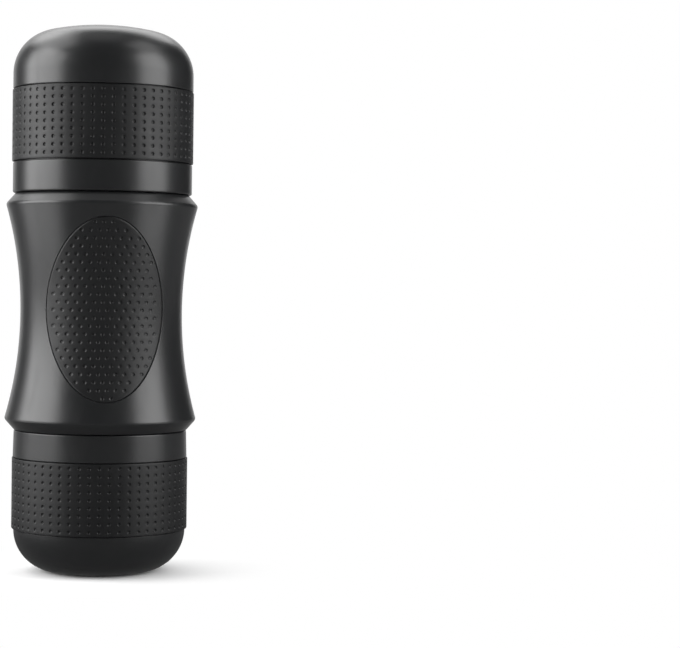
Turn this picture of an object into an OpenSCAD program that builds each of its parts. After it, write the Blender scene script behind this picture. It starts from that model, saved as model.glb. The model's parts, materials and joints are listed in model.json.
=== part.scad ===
// Hand-pumped portable coffee maker: cup, outlet head, waisted body with a slanted piston, water tank.
// The base of the cup stands at z = 0, +Z is up, the grip pad faces -Y and the piston leans out to +Y.

/* [Cup] */
// Height of the cup, base to rim
cup_h = 45.2; // [42:0.1:56]
// Outside diameter of the cup at its rim
cup_rim_d = 54.9; // [54.5:0.1:58]
// Outside diameter where the rim ring meets the grip band
cup_ring_d = 55.4; // [55:0.1:60]
// Outside diameter of the cup's grip band
cup_band_d = 55.9; // [55.5:0.1:62]
// Outside diameter of the rounded base where it meets the band
cup_base_d = 54.6; // [54:0.1:60]
// Radius of the rounding between base and side
cup_base_round = 13.5; // [10:0.1:16]
// Height at which the cup's band starts
cup_band_z = 13.6; // [13.5:0.1:18]
// Height of the cup's band
cup_band_h = 23; // [14:0.1:24]
// Thickness of the cup's grip band
cup_band_t = 1.4; // [0.9:0.1:1.6]
// Thickness of the cup's floor
cup_floor = 2.6; // [1.8:0.1:3]

/* [Body] */
// Height of the body
body_h = 74.9; // [72:0.1:92]
// Diameter at the waist
waist_d = 51.4; // [50:0.1:58]
// Diameter at the two flares
flare_d = 61; // [59:0.1:66]
// Diameter of the body's top and bottom edges
body_edge_d = 55.2; // [55:0.1:58]
// Height of the bevel between flare and edge
body_bevel_h = 3.3; // [2.5:0.1:4.5]
// Rounding of the flares
flare_round = 0.9; // [0.4:0.1:1.5]
// Wall of the body shell
body_wall = 2.2; // [1.6:0.1:2.4]

/* [Grip pad] */
// Height of the oval pad
pad_h = 57.4; // [40:0.1:62]
// Width of the oval pad, measured straight across
pad_w = 36; // [24:0.1:40]
// Thickness of the pad
pad_t = 1.2; // [0.8:0.1:1.5]
// Height of the pad's middle above the body's middle
pad_rise = 1.1; // [0:0.1:3]

/* [Water tank] */
// Height of the tank, lower edge to the top of the dome
tank_h = 53.5; // [50:0.1:75]
// Outside diameter of the tank's lower ring
tank_ring_d = 56.9; // [56:0.1:60]
// Outside diameter of the tank's grip band
tank_band_d = 57.5; // [57:0.1:62]
// Height of the lower ring under the band
tank_ring_h = 9.6; // [9.5:0.1:14]
// Height of the tank's band
tank_band_h = 23.4; // [16:0.1:26]
// Thickness of the tank's grip band
tank_band_t = 1.3; // [0.8:0.1:1.4]
// Outside diameter of the domed cap part
dome_d = 57.2; // [56:0.1:60]
// Radius of the rounding at the shoulder of the dome
dome_round = 14; // [9:0.1:18]
// Crown radius of the dome's top
dome_crown = 80; // [60:1:160]
// Wall of the dome
dome_wall = 2.8; // [2:0.1:3]

/* [Threads] */
// Rise of the quick threads in one turn
thread_lead = 32; // [20:1:48]
// Starts of each quick thread
thread_starts = 4; // [3:1:4]
// Width of one thread rib, as an angle
rib_angle = 20; // [12:1:24]
// How far a rib stands out of the necks of cup and tank
rib_out = 1.1; // [0.8:0.05:1.2]
// How far a rib stands out of the outlet head's spigot
spigot_rib_out = 0.8; // [0.5:0.05:0.8]
// Gap between an inner rib and the neck it runs on
rib_clear = 0.5; // [0.3:0.05:0.6]
// Height of the ribs on the tank's neck
tank_rib_h = 4; // [2.5:0.1:4.5]
// Height of the ribs at the outlet head and the cup
small_rib_h = 2.4; // [1.5:0.1:2.5]
// Outside radius of the tank's neck
tank_neck_r = 24.2; // [23.5:0.1:24.4]
// Wall of the tank's neck
tank_neck_wall = 2; // [1.4:0.1:2.4]
// Height of the tank's neck above the deck
tank_neck_h = 9.3; // [8:0.1:9.5]
// Outside radius of the neck that the cup screws to
cup_neck_r = 24.5; // [24:0.1:24.6]
// Wall of that neck
cup_neck_wall = 1.9; // [1.4:0.1:2]
// How far that neck stands out of the body
cup_neck_h = 4.2; // [4:0.1:5]

/* [Outlet head] */
// Outside radius of the outlet head
outlet_r = 24.6; // [23.5:0.1:24.7]
// Wall of the outlet head
outlet_wall = 2.4; // [1.8:0.1:3]
// Radius of the long curve of its side
outlet_side_round = 40; // [34:1:60]
// Radius of the rounding at its flat end
outlet_end_round = 7; // [5:0.1:8]
// Length of its rounded part
outlet_curve_h = 22; // [18:0.1:24]
// Gap between the flat end and the floor of the cup
outlet_gap = 1.4; // [0.8:0.1:2.4]
// Outside radius of the spigot that screws into the neck
spigot_r = 21.5; // [21:0.1:21.6]
// Radius of the round opening in the flat end
spout_hole_r = 4.5; // [3.5:0.1:5.5]
// Radius of the bore of the spout
spout_bore_r = 1.5; // [1:0.1:2]

/* [Filter basket] */
// Radius of the basket's rim
basket_rim_r = 19.2; // [18.8:0.1:19.4]
// Outside radius of the basket's cup
basket_r = 17.5; // [16.8:0.1:17.6]
// Depth of the basket
basket_h = 14.2; // [11:0.1:15]
// Wall of the basket
basket_wall = 0.8; // [0.5:0.1:1]

/* [Piston] */
// Bore of the pump cylinder, from which stem, sleeve and socket follow
pump_bore_d = 10.4; // [9:0.1:11.4]
// Wall of the pump cylinder
pump_wall = 1.2; // [0.9:0.1:1.5]
// Room between pump cylinder and stem for the return spring
spring_room = 1.8; // [1.5:0.1:2.2]
// Wall of the stem
stem_wall = 1.4; // [1:0.1:1.6]
// How far the stem's lugs stand out
lug_out = 1.3; // [1:0.1:1.5]
// Thickness of the hooks that hold the lugs
hook_t = 1.4; // [1:0.1:1.8]
// Wall of the sleeve
sleeve_wall = 1.8; // [1.4:0.1:2]
// How far the sleeve's flange stands out
flange_out = 0.9; // [0.6:0.1:1.2]
// Wall of the socket in the body
socket_wall = 1.5; // [1.2:0.1:2]
// Angle between the piston and the upright
piston_tilt = 57; // [55:0.5:59]
// Gap between the socket's lowest point and the brew group
socket_clear = 0.5; // [0.3:0.1:2]
// Distance from the body's axis to the sleeve's end when it is pushed in
sleeve_reach = 32; // [31:0.1:34]
// Length of the sleeve
sleeve_len = 44.5; // [43:0.1:45]
// How far the sleeve draws out
sleeve_travel = 21; // [12:0.5:22]
// How far the stem draws out of the sleeve
stem_travel = 22; // [12:0.5:22]
// Diameter of the head disc
head_d = 30.4; // [28:0.1:31]
// Thickness of the head disc
head_t = 4.9; // [4.6:0.1:6.5]
// Rounding of the head disc's edges
head_round = 1.3; // [0.6:0.1:1.8]
// Diameter of the plunger rod
rod_d = 4.8; // [4:0.1:5.2]

/* [Valves] */
// Radius of the valve balls
ball_r = 1.6; // [1.3:0.1:1.7]
// How far a ball lifts off its seat
ball_lift = 0.8; // [0.5:0.1:0.9]
// Outside radius of the two tubes
pipe_r = 1.6; // [1.4:0.1:1.8]
// Radius of the bore of the two tubes
pipe_bore_r = 1; // [0.7:0.1:1.1]
// Radius of the intake strainer
strainer_r = 3.5; // [2.8:0.1:3.8]
// Gap between the strainer and the neck's wall
strainer_gap = 1.2; // [0.5:0.1:2]

/* [Screws] */
// Gap between the coupling's screw heads and the neck's wall
screw_gap = 0.5; // [0.3:0.1:1]
// Radius of the coupling's screws
screw_r = 0.9; // [0.7:0.05:1]
// Radius of a screw's head
screw_head_r = 2.1; // [1.8:0.1:2.2]

/* [Fits] */
// Gap between stacked housings
seam = 0.2; // [0.1:0.05:0.3]
// Radial clearance of a running fit
run_fit = 0.08; // [0.05:0.01:0.1]
// Loose clearance between pieces that don't touch
play = 0.3; // [0.2:0.05:0.4]
// Gap that keeps resting faces from overlapping
hair = 0.05; // [0.02:0.01:0.08]

/* [Hidden] */
$fn = 96;
small_fn = 32;

// Heights of the stacked modules
body_z = cup_h + seam;
body_mid = body_z + body_h / 2;
body_top = body_z + body_h;
tank_z = body_top + seam;
tank_top = tank_z + tank_h;

// Waist of the body: one large arc through both flares
waist_r = waist_d / 2;
flare_r = flare_d / 2;
edge_r = body_edge_d / 2;
waist_chord = body_h / 2 - body_bevel_h;
waist_sag = flare_r - waist_r;
waist_arc = (waist_chord * waist_chord + waist_sag * waist_sag) / (2 * waist_sag);
waist_x = waist_r + waist_arc;
// Rounding of the flare, tangent to the bevel and to the waist arc
bevel_len = norm([flare_r - edge_r, body_bevel_h]);
bevel_dir = [edge_r - flare_r, body_bevel_h] / bevel_len;
bevel_in = [-body_bevel_h, edge_r - flare_r] / bevel_len;
round_from = [flare_r - waist_x, waist_chord] + flare_round * bevel_in;
round_b = round_from * bevel_dir;
round_c = round_from * round_from - pow(waist_arc + flare_round, 2);
round_slide = -round_b + sqrt(round_b * round_b - round_c) * (round_b > 0 ? 1 : -1);
round_center = round_from + round_slide * bevel_dir + [waist_x, 0];
round_a0 = atan2(-round_center[1], waist_x - round_center[0]);
round_a1 = atan2(-bevel_in[1], -bevel_in[0]);

// Seats inside the body
group_r = edge_r - 2.6;
group_plate = 1.9;
group_top = body_z + 4;
group_under = group_top - group_plate;
cavity_floor = group_top + 0.1;
deck_r = edge_r - 1.65;
deck_t = 2.05;
deck_z = body_top - 4.15;
deck_top = deck_z + deck_t;
ledge_t = 3.3;
ledge_r = deck_r - 1.55;
cavity_top = deck_z - hair - ledge_t;
neck_top = deck_top + tank_neck_h;
screw_angles = [60, 180, 300];
neck_in_r = tank_neck_r - tank_neck_wall;
screw_circle_r = neck_in_r - screw_head_r - screw_gap;
inlet_x = neck_in_r - strainer_r - strainer_gap;
vent_cap_r = 2.6;
vent_y = -(neck_in_r - vent_cap_r - 4.6);
vent_stem_r = 1.15;

// Threads: each rib's root is sunk into its wall; upper ribs lie a shift away from lower ones
rib_root = 0.3;
rib_shift = rib_angle + 2;
tank_bore_r = tank_neck_r + rib_out + play + 0.1;
tank_rib_z = deck_top + 4.4;
tank_seal_t = 0.9;

// Lower neck, spigot and cup ledge
neck_foot = body_z - cup_neck_h;
neck_bore_r = cup_neck_r - cup_neck_wall;
cup_bore_r = cup_neck_r + rib_out + play;
cup_inner_r = outlet_r + 0.55;
cup_ledge_z = neck_foot - 1.6;
cup_rib_z = neck_foot + 0.3;
outlet_shoulder = neck_foot - hair;
outlet_end = cup_floor + outlet_gap;
spigot_top = group_under - 2.3;
spigot_rib_z = outlet_shoulder + 1.3;

// Basket, gasket and screen
pocket_r = basket_r + 0.5;
rim_seat_r = basket_rim_r + 0.6;
rim_t = 1.1;
basket_top = group_under - 2;
basket_bottom = basket_top - basket_h;
gasket_bore_r = basket_r - 1.3;
screen_r = gasket_bore_r - 0.4;
screen_t = 0.5;
screen_top = group_under - 0.7 - hair;
screen_bottom = screen_top - screen_t + hair;

// Radii of the pump, from the bore outwards
pump_r = pump_bore_d / 2 + pump_wall;
stem_r = pump_r + spring_room + stem_wall;
lug_r = stem_r + lug_out;
hook_r = lug_r + play + hook_t;
sleeve_r = hook_r + 2 * play + sleeve_wall;
flange_r = sleeve_r + flange_out;
socket_bore_r = flange_r + 0.2;
socket_r = socket_bore_r + socket_wall;
pump_base_r = pump_r + 1.2;
collar_r = stem_r + 1;
rod_r = rod_d / 2;
spigot_rod_r = 1.6;
journal_r = 1.8;
cap_r = head_d / 2 - 2.2;
screw_well_r = 3.8;

// Lengths along the piston's axis, from where it crosses the body's axis
sleeve_foot = sleeve_reach - sleeve_len;
flange_t = 1.8;
pump_flange_top = sleeve_foot - 0.5;
pump_flange_t = 2;
clip_t = 0.8;
socket_foot = pump_flange_top - pump_flange_t - 2 * clip_t - 0.2;
bushing_foot = sleeve_foot + flange_t + sleeve_travel + play;
bushing_len = 8;
stem_foot = sleeve_foot + 1;
lug_t = 1.3;
lug_angle = 36;
hook_turn = 70;
hook_top = pump_flange_top + 4.8;
guide_foot = stem_foot + lug_t + stem_travel + play;
lip_t = 2;
guide_top = sleeve_reach - lip_t - 2 * hair;
head_under = sleeve_reach + 0.15;
head_top = head_under + head_t;
pump_top = sleeve_reach - 1;
pump_foot = pump_flange_top - 9;
pump_floor = pump_foot + 2.5;
port_r = 0.9;
port_s = pump_floor + 1.1;
plunger_foot = port_s + port_r + 0.2;
seal_len = 3.6;
tip_t = 0.7;
head_web_z = head_under + 1.7;
head_web_t = 1.6;
cap_t = 0.6;

// Height at which the piston's axis crosses the body's axis: the socket stands just clear of the brew group
piston_z = group_top + socket_clear + socket_r * sin(piston_tilt) - socket_foot * cos(piston_tilt);

// Valves: the outlet valve stands in the brew group, the inlet valve hangs from the deck
chamber_r = ball_r + 0.6;
port_seat_r = 0.9;
seat_drop = sqrt(ball_r * ball_r - port_seat_r * port_seat_r) + 0.02;
valve_spring_r = 1.5;
valve_spring_bore_r = 1;
outlet_valve_xy = [-8.6, -12.5];
outlet_seat_z = group_top + 3.4 + ball_lift;
outlet_boss_r = chamber_r + 1.8;
outlet_boss_top = outlet_seat_z + 1.4;
outlet_chamber_z = group_top - 0.5;
inlet_seat_z = deck_z - 2.7;
inlet_chamber_z = inlet_seat_z - 8.7 - ball_lift;
inlet_foot = inlet_chamber_z - 3;
inlet_r = chamber_r + 1.2;

// A point given from the piston's axis, in the part's own frame
function on_axis(x, y, s) = [x, y * cos(piston_tilt) + s * sin(piston_tilt),
  piston_z - y * sin(piston_tilt) + s * cos(piston_tilt)];
// Three points in line, so that a tube leaves its port straight
function straight(port, dir) = [port, port + dir, port + 2 * dir];

// Routes of the two tubes
pipe_sides = 8;
inlet_port = on_axis(pump_base_r + hair, 0, port_s);
outlet_port = on_axis(-pump_base_r - hair, 0, port_s);
suction_x = socket_r + pipe_r + 1;
suction_route = concat(straight([inlet_x, 0, inlet_foot - hair], [0, 0, -1.5]),
  [[(inlet_x + suction_x) / 2, 0, deck_z - 24], [suction_x, 0, deck_z - 31],
    [suction_x, 0, body_z + 30.6], [suction_x, 0, body_z + 21.6], [suction_x, -2, body_z + 15.6],
    [suction_x - 1.2, -7, body_z + 12.4],
    inlet_port + [8.8, 3.4, -6.4], inlet_port + [5.1, 0.2, -3]],
  flipped(straight(inlet_port, [1, 0, 0])));
outlet_valve_top = [outlet_valve_xy[0], outlet_valve_xy[1], outlet_boss_top + hair];
pressure_route = concat(straight(outlet_port, [-1, 0, 0]),
  [outlet_port + [-3.7, 0.4, -1.5], outlet_port + [-3.5, 1.4, -4], outlet_valve_top + [-1.1, -0.5, 2.9]],
  flipped(straight(outlet_valve_top, [0, 0, 0.9])));

// Points of an arc around a centre, from one angle to another
function arc(c, r, a0, a1, n = 12) =
  [for (i = [0 : n]) c + r * [cos(a0 + (a1 - a0) * i / n), sin(a0 + (a1 - a0) * i / n)]];
function flipped(points) = [for (i = [len(points) - 1 : -1 : 0]) points[i]];

// Plain turned forms
module tube(r_out, r_in, z0, z1) {
  translate([0, 0, z0])
    difference() {
      cylinder(r = r_out, h = z1 - z0);
      translate([0, 0, -1])
        cylinder(r = r_in, h = z1 - z0 + 2);
    }
}

module disc(r, z0, z1) {
  translate([0, 0, z0])
    cylinder(r = r, h = z1 - z0);
}

module turned(points) {
  rotate_extrude()
    polygon(points);
}

// A ring section with small chamfers on its outer edges
module band_ring(r_in, r_out, z0, z1, chamfer = 0.3) {
  turned([[r_in, z0], [r_out - chamfer, z0], [r_out, z0 + chamfer], [r_out, z1 - chamfer],
    [r_out - chamfer, z1], [r_in, z1]]);
}

// Part of a ring between two angles
module arc_block(r_in, r_out, angle, z0, z1) {
  steps = 4;
  translate([0, 0, z0])
    linear_extrude(z1 - z0)
      polygon(concat(arc([0, 0], r_out, -angle / 2, angle / 2, steps),
        arc([0, 0], r_in, angle / 2, -angle / 2, steps)));
}

// Helical ribs of a quick thread; the angle grows with height
module thread_ribs(r_in, r_out, z0, h, turn) {
  steps = 4;
  for (i = [0 : thread_starts - 1])
    translate([0, 0, z0])
      rotate(i * 360 / thread_starts + turn)
        linear_extrude(h, twist = -360 * h / thread_lead, slices = steps, $fn = 8)
          polygon(concat(arc([0, 0], r_out, 0, rib_angle, steps), arc([0, 0], r_in, rib_angle, 0, steps)));
}

// Ribs on the outside of a neck, and ribs inside the bore that runs on it
module outer_ribs(neck_r, out, z0, h) {
  thread_ribs(neck_r - rib_root, neck_r + out, z0, h, 0);
}

module inner_ribs(neck_r, bore_r, z0, h, turn) {
  thread_ribs(neck_r + rib_clear, bore_r + rib_root, z0, h, turn);
}

// Pieces drawn along the piston's axis
module on_piston_axis() {
  translate([0, 0, piston_z])
    rotate([-piston_tilt, 0, 0])
      children();
}

// Points on the smooth curve through a route
function curve_point(p0, p1, p2, p3, t) = 0.5 * (2 * p1 + (p2 - p0) * t
  + (2 * p0 - 5 * p1 + 4 * p2 - p3) * t * t + (3 * p1 - p0 - 3 * p2 + p3) * t * t * t);
function curved(route, n) = let (last = len(route) - 1) concat(
  [for (i = [0 : last - 1], k = [0 : n - 1])
    curve_point(route[max(i - 1, 0)], route[i], route[i + 1], route[min(i + 2, last)], k / n)],
  [route[last]]);
function unit(v) = v / norm(v);

// A pipe with a bore along a route
module pipe(route) {
  path = curved(route, 2);
  count = len(path);
  n = pipe_sides;
  side = [0, 1, 0];
  ring = 2 * n;
  points = [for (i = [0 : count - 1])
    let (dir = unit(path[min(i + 1, count - 1)] - path[max(i - 1, 0)]),
      u = unit(cross(side, dir)), v = cross(dir, u))
    for (r = [pipe_r, pipe_bore_r], k = [0 : n - 1])
      path[i] + r * (cos(k * 360 / n) * u + sin(k * 360 / n) * v)];
  last = (count - 1) * ring;
  outer = [for (i = [0 : count - 2], k = [0 : n - 1]) let (m = (k + 1) % n)
    [i * ring + k, i * ring + m, (i + 1) * ring + m, (i + 1) * ring + k]];
  inner = [for (i = [0 : count - 2], k = [0 : n - 1]) let (m = (k + 1) % n)
    [i * ring + n + k, (i + 1) * ring + n + k, (i + 1) * ring + n + m, i * ring + n + m]];
  start = [for (k = [0 : n - 1]) let (m = (k + 1) % n) [k, n + k, n + m, m]];
  end = [for (k = [0 : n - 1]) let (m = (k + 1) % n) [last + k, last + m, last + n + m, last + n + k]];
  triangles = [for (f = concat(outer, inner, start, end), half = [0, 1])
    half == 0 ? [f[2], f[1], f[0]] : [f[3], f[2], f[0]]];
  polyhedron(points, triangles, convexity = 6);
}

// The body's outline in radius and height, drawn in from the surface by an inset
module body_outline(inset = 0) {
  half = body_h / 2;
  flare = arc(round_center, flare_round, round_a1, round_a0, 8);
  mouth = [flare[8] + [0.05, -0.01]];
  upper = concat([[0, half], [edge_r, half]], flare, mouth);
  difference() {
    polygon(concat(upper, flipped([for (p = upper) [p[0], -p[1]]])));
    translate([waist_x, 0])
      circle(waist_arc + inset, $fn = 240);
  }
}

module body_solid(inset = 0) {
  translate([0, 0, body_mid])
    rotate_extrude()
      body_outline(inset);
}

// The oval of the pad, as a prism through the front of the body
module pad_prism(grow = 0) {
  points = [for (a = [0 : 5 : 355]) [(pad_w / 2 + grow) * cos(a), (pad_h / 2 + grow) * sin(a)]];
  translate([0, -flare_r - 5, body_mid + pad_rise])
    rotate([-90, 0, 0])
      linear_extrude(flare_r - 5)
        polygon(points);
}

// Cup
module cup_shell() {
  base_r = cup_base_d / 2;
  band_seat = cup_band_d / 2 - cup_band_t;
  band_top = cup_band_z + cup_band_h;
  lip = 0.4;
  round_out = [base_r - cup_base_round, cup_base_round];
  round_in = cup_base_round - cup_floor;
  corner_in = [cup_inner_r - round_in, cup_floor + round_in];
  color("#26272a")
    union() {
      turned(concat([[0, 0]], arc(round_out, cup_base_round, -90, 0, 14),
        [[base_r, cup_band_z], [band_seat, cup_band_z], [band_seat, band_top],
          [cup_ring_d / 2, band_top], [cup_rim_d / 2, cup_h - lip], [cup_rim_d / 2 - lip, cup_h],
          [cup_bore_r, cup_h], [cup_bore_r, cup_ledge_z], [cup_inner_r, cup_ledge_z]],
        arc(corner_in, round_in, 0, -90, 14), [[0, cup_floor]]));
      inner_ribs(cup_neck_r, cup_bore_r, cup_rib_z, small_rib_h, -rib_shift);
    }
}

module cup_grip_band() {
  z1 = cup_band_z + cup_band_h;
  color("#202124")
    band_ring(cup_band_d / 2 - cup_band_t, cup_band_d / 2, cup_band_z + hair, z1 - hair);
}

// Lip seal on the cup's ledge, round the outlet head
module cup_seal() {
  color("#3a3a3c")
    tube(cup_bore_r - 2 * hair, outlet_r + hair, cup_ledge_z + hair, neck_foot - 0.2);
}

// Outlet head
module outlet_head() {
  side_c = [outlet_r - outlet_side_round, outlet_end + outlet_curve_h];
  end_z = outlet_end + outlet_end_round;
  reach = outlet_side_round - outlet_end_round;
  end_c = [side_c[0] + sqrt(reach * reach - pow(side_c[1] - end_z, 2)), end_z];
  meet = atan2(end_z - side_c[1], end_c[0] - side_c[0]);
  top_plate = 2.2;
  chamfer = 0.4;
  skirt_t = 1.4;
  skirt_z = basket_bottom + 2;
  inner_side = outlet_side_round - outlet_wall;
  inner_end = outlet_end_round - outlet_wall;
  chamber_top = outlet_shoulder - top_plate;
  color("#232427")
    difference() {
      union() {
        turned(concat([[0, outlet_end]], arc(end_c, outlet_end_round, -90, meet, 8),
          arc(side_c, outlet_side_round, meet, 0, 10),
          [[outlet_r, outlet_shoulder - chamfer], [outlet_r - chamfer, outlet_shoulder],
            [spigot_r, outlet_shoulder], [spigot_r, spigot_top], [0, spigot_top]]));
        outer_ribs(spigot_r, spigot_rib_out, spigot_rib_z, small_rib_h);
      }
      difference() {
        turned(concat([[0, outlet_end + outlet_wall]], arc(end_c, inner_end, -90, meet, 8),
          arc(side_c, inner_side, meet, 0, 10),
          [[outlet_r - outlet_wall, chamber_top], [0, chamber_top]]));
        tube(pocket_r + skirt_t, pocket_r, skirt_z, outlet_shoulder);
      }
      disc(pocket_r, skirt_z - 1, spigot_top + 1);
      disc(rim_seat_r, basket_top - rim_t - hair, spigot_top + 1);
      disc(spout_hole_r, outlet_end - 1, outlet_end + outlet_wall + 1);
    }
}

// Insert of the spout: a flange inside the head, a plug in its opening and a short nozzle
module outlet_spout() {
  floor_z = outlet_end + outlet_wall;
  flange = 1.6;
  flange_top = floor_z + 1.4;
  nozzle_wall = 1.1;
  color("#141416")
    difference() {
      union() {
        disc(spout_hole_r + flange, floor_z + hair, flange_top);
        disc(spout_hole_r - 2 * hair, outlet_end + 1.6, floor_z + 1);
        disc(spout_bore_r + nozzle_wall, outlet_end + 0.5, floor_z + 1);
      }
      disc(spout_bore_r, outlet_end - 1, flange_top + 1);
    }
}

module outlet_seal() {
  section = (neck_bore_r - spigot_r - 2 * hair) / 2;
  color("#3a3a3c")
    translate([0, 0, outlet_shoulder + section + hair])
      rotate_extrude()
        translate([spigot_r + section + hair, 0])
          circle(section, $fn = small_fn);
}

// Holes in rings: the first value of each pair is the ring's radius, the second its number of holes
module hole_rings(rings, hole_r, z0, z1) {
  for (ring = rings)
    for (i = [0 : ring[1] - 1])
      rotate(i * 360 / ring[1])
        translate([ring[0], 0, z0])
          cylinder(r = hole_r, h = z1 - z0, $fn = small_fn);
}

module filter_basket() {
  bore = basket_r - basket_wall;
  foot = 1;
  hole_r = 0.7;
  color("#c9cbcd")
    difference() {
      turned([[0, basket_bottom], [basket_r - foot, basket_bottom], [basket_r, basket_bottom + foot],
        [basket_r, basket_top - rim_t], [basket_rim_r, basket_top - rim_t], [basket_rim_r, basket_top],
        [bore, basket_top], [bore, basket_bottom + 1.2], [bore - 0.6, basket_bottom + basket_wall],
        [0, basket_bottom + basket_wall]]);
      hole_rings([[4, 6], [8, 12], [12, 18]], hole_r, basket_bottom - 1, basket_bottom + 2);
    }
}

module filter_disc() {
  z = basket_bottom + basket_wall + 0.5;
  thickness = 0.5;
  hole_r = 0.4;
  color("#b4b6b8")
    difference() {
      disc(basket_r - basket_wall - hair, z, z + thickness);
      hole_rings([[3, 8], [6, 14], [9, 20], [13, 28]], hole_r, z - 1, z + 2);
    }
}

// Bosses under the deck, with their ribs to the wall, or the screw holes in them
module coupling_bosses(hole = false) {
  boss_r = 3.1;
  boss_h = 5;
  rib_w = 4.8;
  hole_depth = 6;
  for (a = screw_angles)
    rotate(a)
      if (hole)
        translate([screw_circle_r, 0, cavity_top - hole_depth])
          cylinder(r = screw_r + hair, h = hole_depth + ledge_t + 10, $fn = small_fn);
      else {
        translate([screw_circle_r, 0, cavity_top - boss_h])
          cylinder(r = boss_r, h = boss_h + ledge_t, $fn = 48);
        translate([screw_circle_r, -rib_w / 2, cavity_top - boss_h])
          cube([deck_r - screw_circle_r + 2.65, rib_w, boss_h + ledge_t]);
      }
}

// Body shell with the slanted socket that carries the piston
module body_shell() {
  past = 60;
  clip_z = pump_flange_top - pump_flange_t - hair;
  groove = 0.7;
  color("#28292c")
    difference() {
      body_solid();
      difference() {
        intersection() {
          body_solid(body_wall);
          disc(flare_r - body_wall, cavity_floor, cavity_top);
        }
        on_piston_axis()
          disc(socket_r, socket_foot, past);
        coupling_bosses();
      }
      on_piston_axis() {
        disc(socket_bore_r, socket_foot - 0.5, bushing_foot + bushing_len);
        disc(sleeve_r + play, 0, past);
        tube(socket_bore_r + groove, socket_bore_r - 1, clip_z - clip_t, clip_z);
      }
      disc(group_r + hair, body_z - 1, cavity_floor + 0.5);
      difference() {
        disc(ledge_r, cavity_top - 1, body_top + 1);
        coupling_bosses();
      }
      disc(deck_r + hair, deck_z - hair, body_top + 1);
      coupling_bosses(hole = true);
      difference() {
        pad_prism(0.15);
        body_solid(pad_t + hair);
      }
    }
}

module grip_pad() {
  color("#1e1f22")
    difference() {
      intersection() {
        pad_prism();
        body_solid(0.02);
      }
      body_solid(pad_t);
    }
}

// Brew group: plate, lower neck, outlet valve
module brew_group() {
  gasket_wall_r = basket_rim_r + 1.1;
  gasket_wall_t = 0.9;
  screw_boss_r = 3.4;
  screw_boss_h = 0.8;
  screen_pad_r = 2.2;
  port_r_in = 1;
  color("#1b1c1e")
    difference() {
      union() {
        disc(group_r, body_z + hair, group_top);
        disc(cup_neck_r, neck_foot, body_z + 1);
        outer_ribs(cup_neck_r, rib_out, cup_rib_z, small_rib_h);
        disc(screw_boss_r, group_top - 1, group_top + screw_boss_h);
        translate([outlet_valve_xy[0], outlet_valve_xy[1], 0])
          disc(outlet_boss_r, group_top - 1, outlet_boss_top);
      }
      difference() {
        disc(neck_bore_r, neck_foot - 1, group_under);
        tube(gasket_wall_r, gasket_wall_r - gasket_wall_t, spigot_top + play, group_under + 1);
        disc(screen_pad_r, screen_top + hair, group_under + 1);
        inner_ribs(spigot_r, neck_bore_r, spigot_rib_z, small_rib_h, rib_shift);
      }
      translate([outlet_valve_xy[0], outlet_valve_xy[1], 0]) {
        disc(chamber_r, outlet_chamber_z, outlet_seat_z);
        disc(port_seat_r, outlet_seat_z - 1, outlet_boss_top + 1, $fn = small_fn);
        disc(port_r_in, group_under - 1, outlet_chamber_z + 1, $fn = small_fn);
      }
      disc(screw_r + 2 * hair, neck_foot, group_top + screw_boss_h / 2, $fn = small_fn);
    }
}

module shower_screen() {
  hole_r = 0.5;
  color("#b9bbbd")
    difference() {
      disc(screen_r, screen_bottom, screen_top);
      disc(1.2, screen_bottom - 1, screen_top + 1, $fn = small_fn);
      hole_rings([[5, 8], [8.5, 14], [12, 20]], hole_r, screen_bottom - 1, screen_top + 1);
    }
}

module screen_screw() {
  head_r = 2.6;
  slot_w = 0.6;
  slot_depth = 0.3;
  foot = screen_bottom - 0.6;
  color("#8f9194")
    difference() {
      union() {
        disc(head_r, foot, screen_bottom - hair);
        disc(screw_r + hair, foot, group_top, $fn = small_fn);
      }
      translate([-head_r, -slot_w / 2, foot - 1])
        cube([2 * head_r, slot_w, 1 + slot_depth]);
    }
}

module group_gasket() {
  color("#b9b8b2")
    tube(basket_rim_r, gasket_bore_r, basket_top + hair, group_under - hair);
}

// Envelope of a ball's spring, from the chamber's floor to the closed ball
module valve_spring(floor_z, seat_z) {
  tube(valve_spring_r, valve_spring_bore_r, floor_z + hair, seat_z - seat_drop - ball_r - hair);
}

module outlet_valve_ball() {
  color("#d5d7d9")
    translate([outlet_valve_xy[0], outlet_valve_xy[1], outlet_seat_z - seat_drop])
      sphere(ball_r, $fn = small_fn);
}

module outlet_valve_spring() {
  color("#a9abad")
    translate([outlet_valve_xy[0], outlet_valve_xy[1], 0])
      valve_spring(outlet_chamber_z, outlet_seat_z);
}

module pressure_tube() {
  color("#d8d4c8")
    pipe(pressure_route);
}

// Pump
module pump_cylinder() {
  color("#dcd8cc")
    on_piston_axis()
      difference() {
        union() {
          disc(pump_base_r, pump_foot, pump_flange_top - 1);
          disc(socket_bore_r - hair, pump_flange_top - pump_flange_t, pump_flange_top);
          disc(pump_r, pump_flange_top - 1, pump_top);
          for (a = [0, 180])
            rotate(a + hook_turn) {
              arc_block(lug_r + play, hook_r, lug_angle, pump_flange_top - 0.5, hook_top);
              arc_block(stem_r + play, hook_r, lug_angle, stem_foot + lug_t + play, hook_top);
            }
        }
        disc(pump_bore_d / 2, pump_floor, pump_top + 1);
        translate([-pump_base_r - 1, 0, port_s])
          rotate([0, 90, 0])
            cylinder(r = port_r, h = 2 * pump_base_r + 2, $fn = small_fn);
      }
}

// Spring ring in the socket's groove, under the cylinder's flange
module cylinder_clip() {
  gap = 7;
  clip_top = pump_flange_top - pump_flange_t - 2 * hair;
  color("#9a9da0")
    on_piston_axis()
      difference() {
        tube(socket_bore_r + 0.6, socket_bore_r - 1.4, clip_top + hair - clip_t, clip_top);
        translate([-gap / 2, 0, socket_foot - 1])
          cube([gap, 30, 10]);
      }
}

module suction_tube() {
  color("#d8d4c8")
    pipe(suction_route);
}

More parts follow.
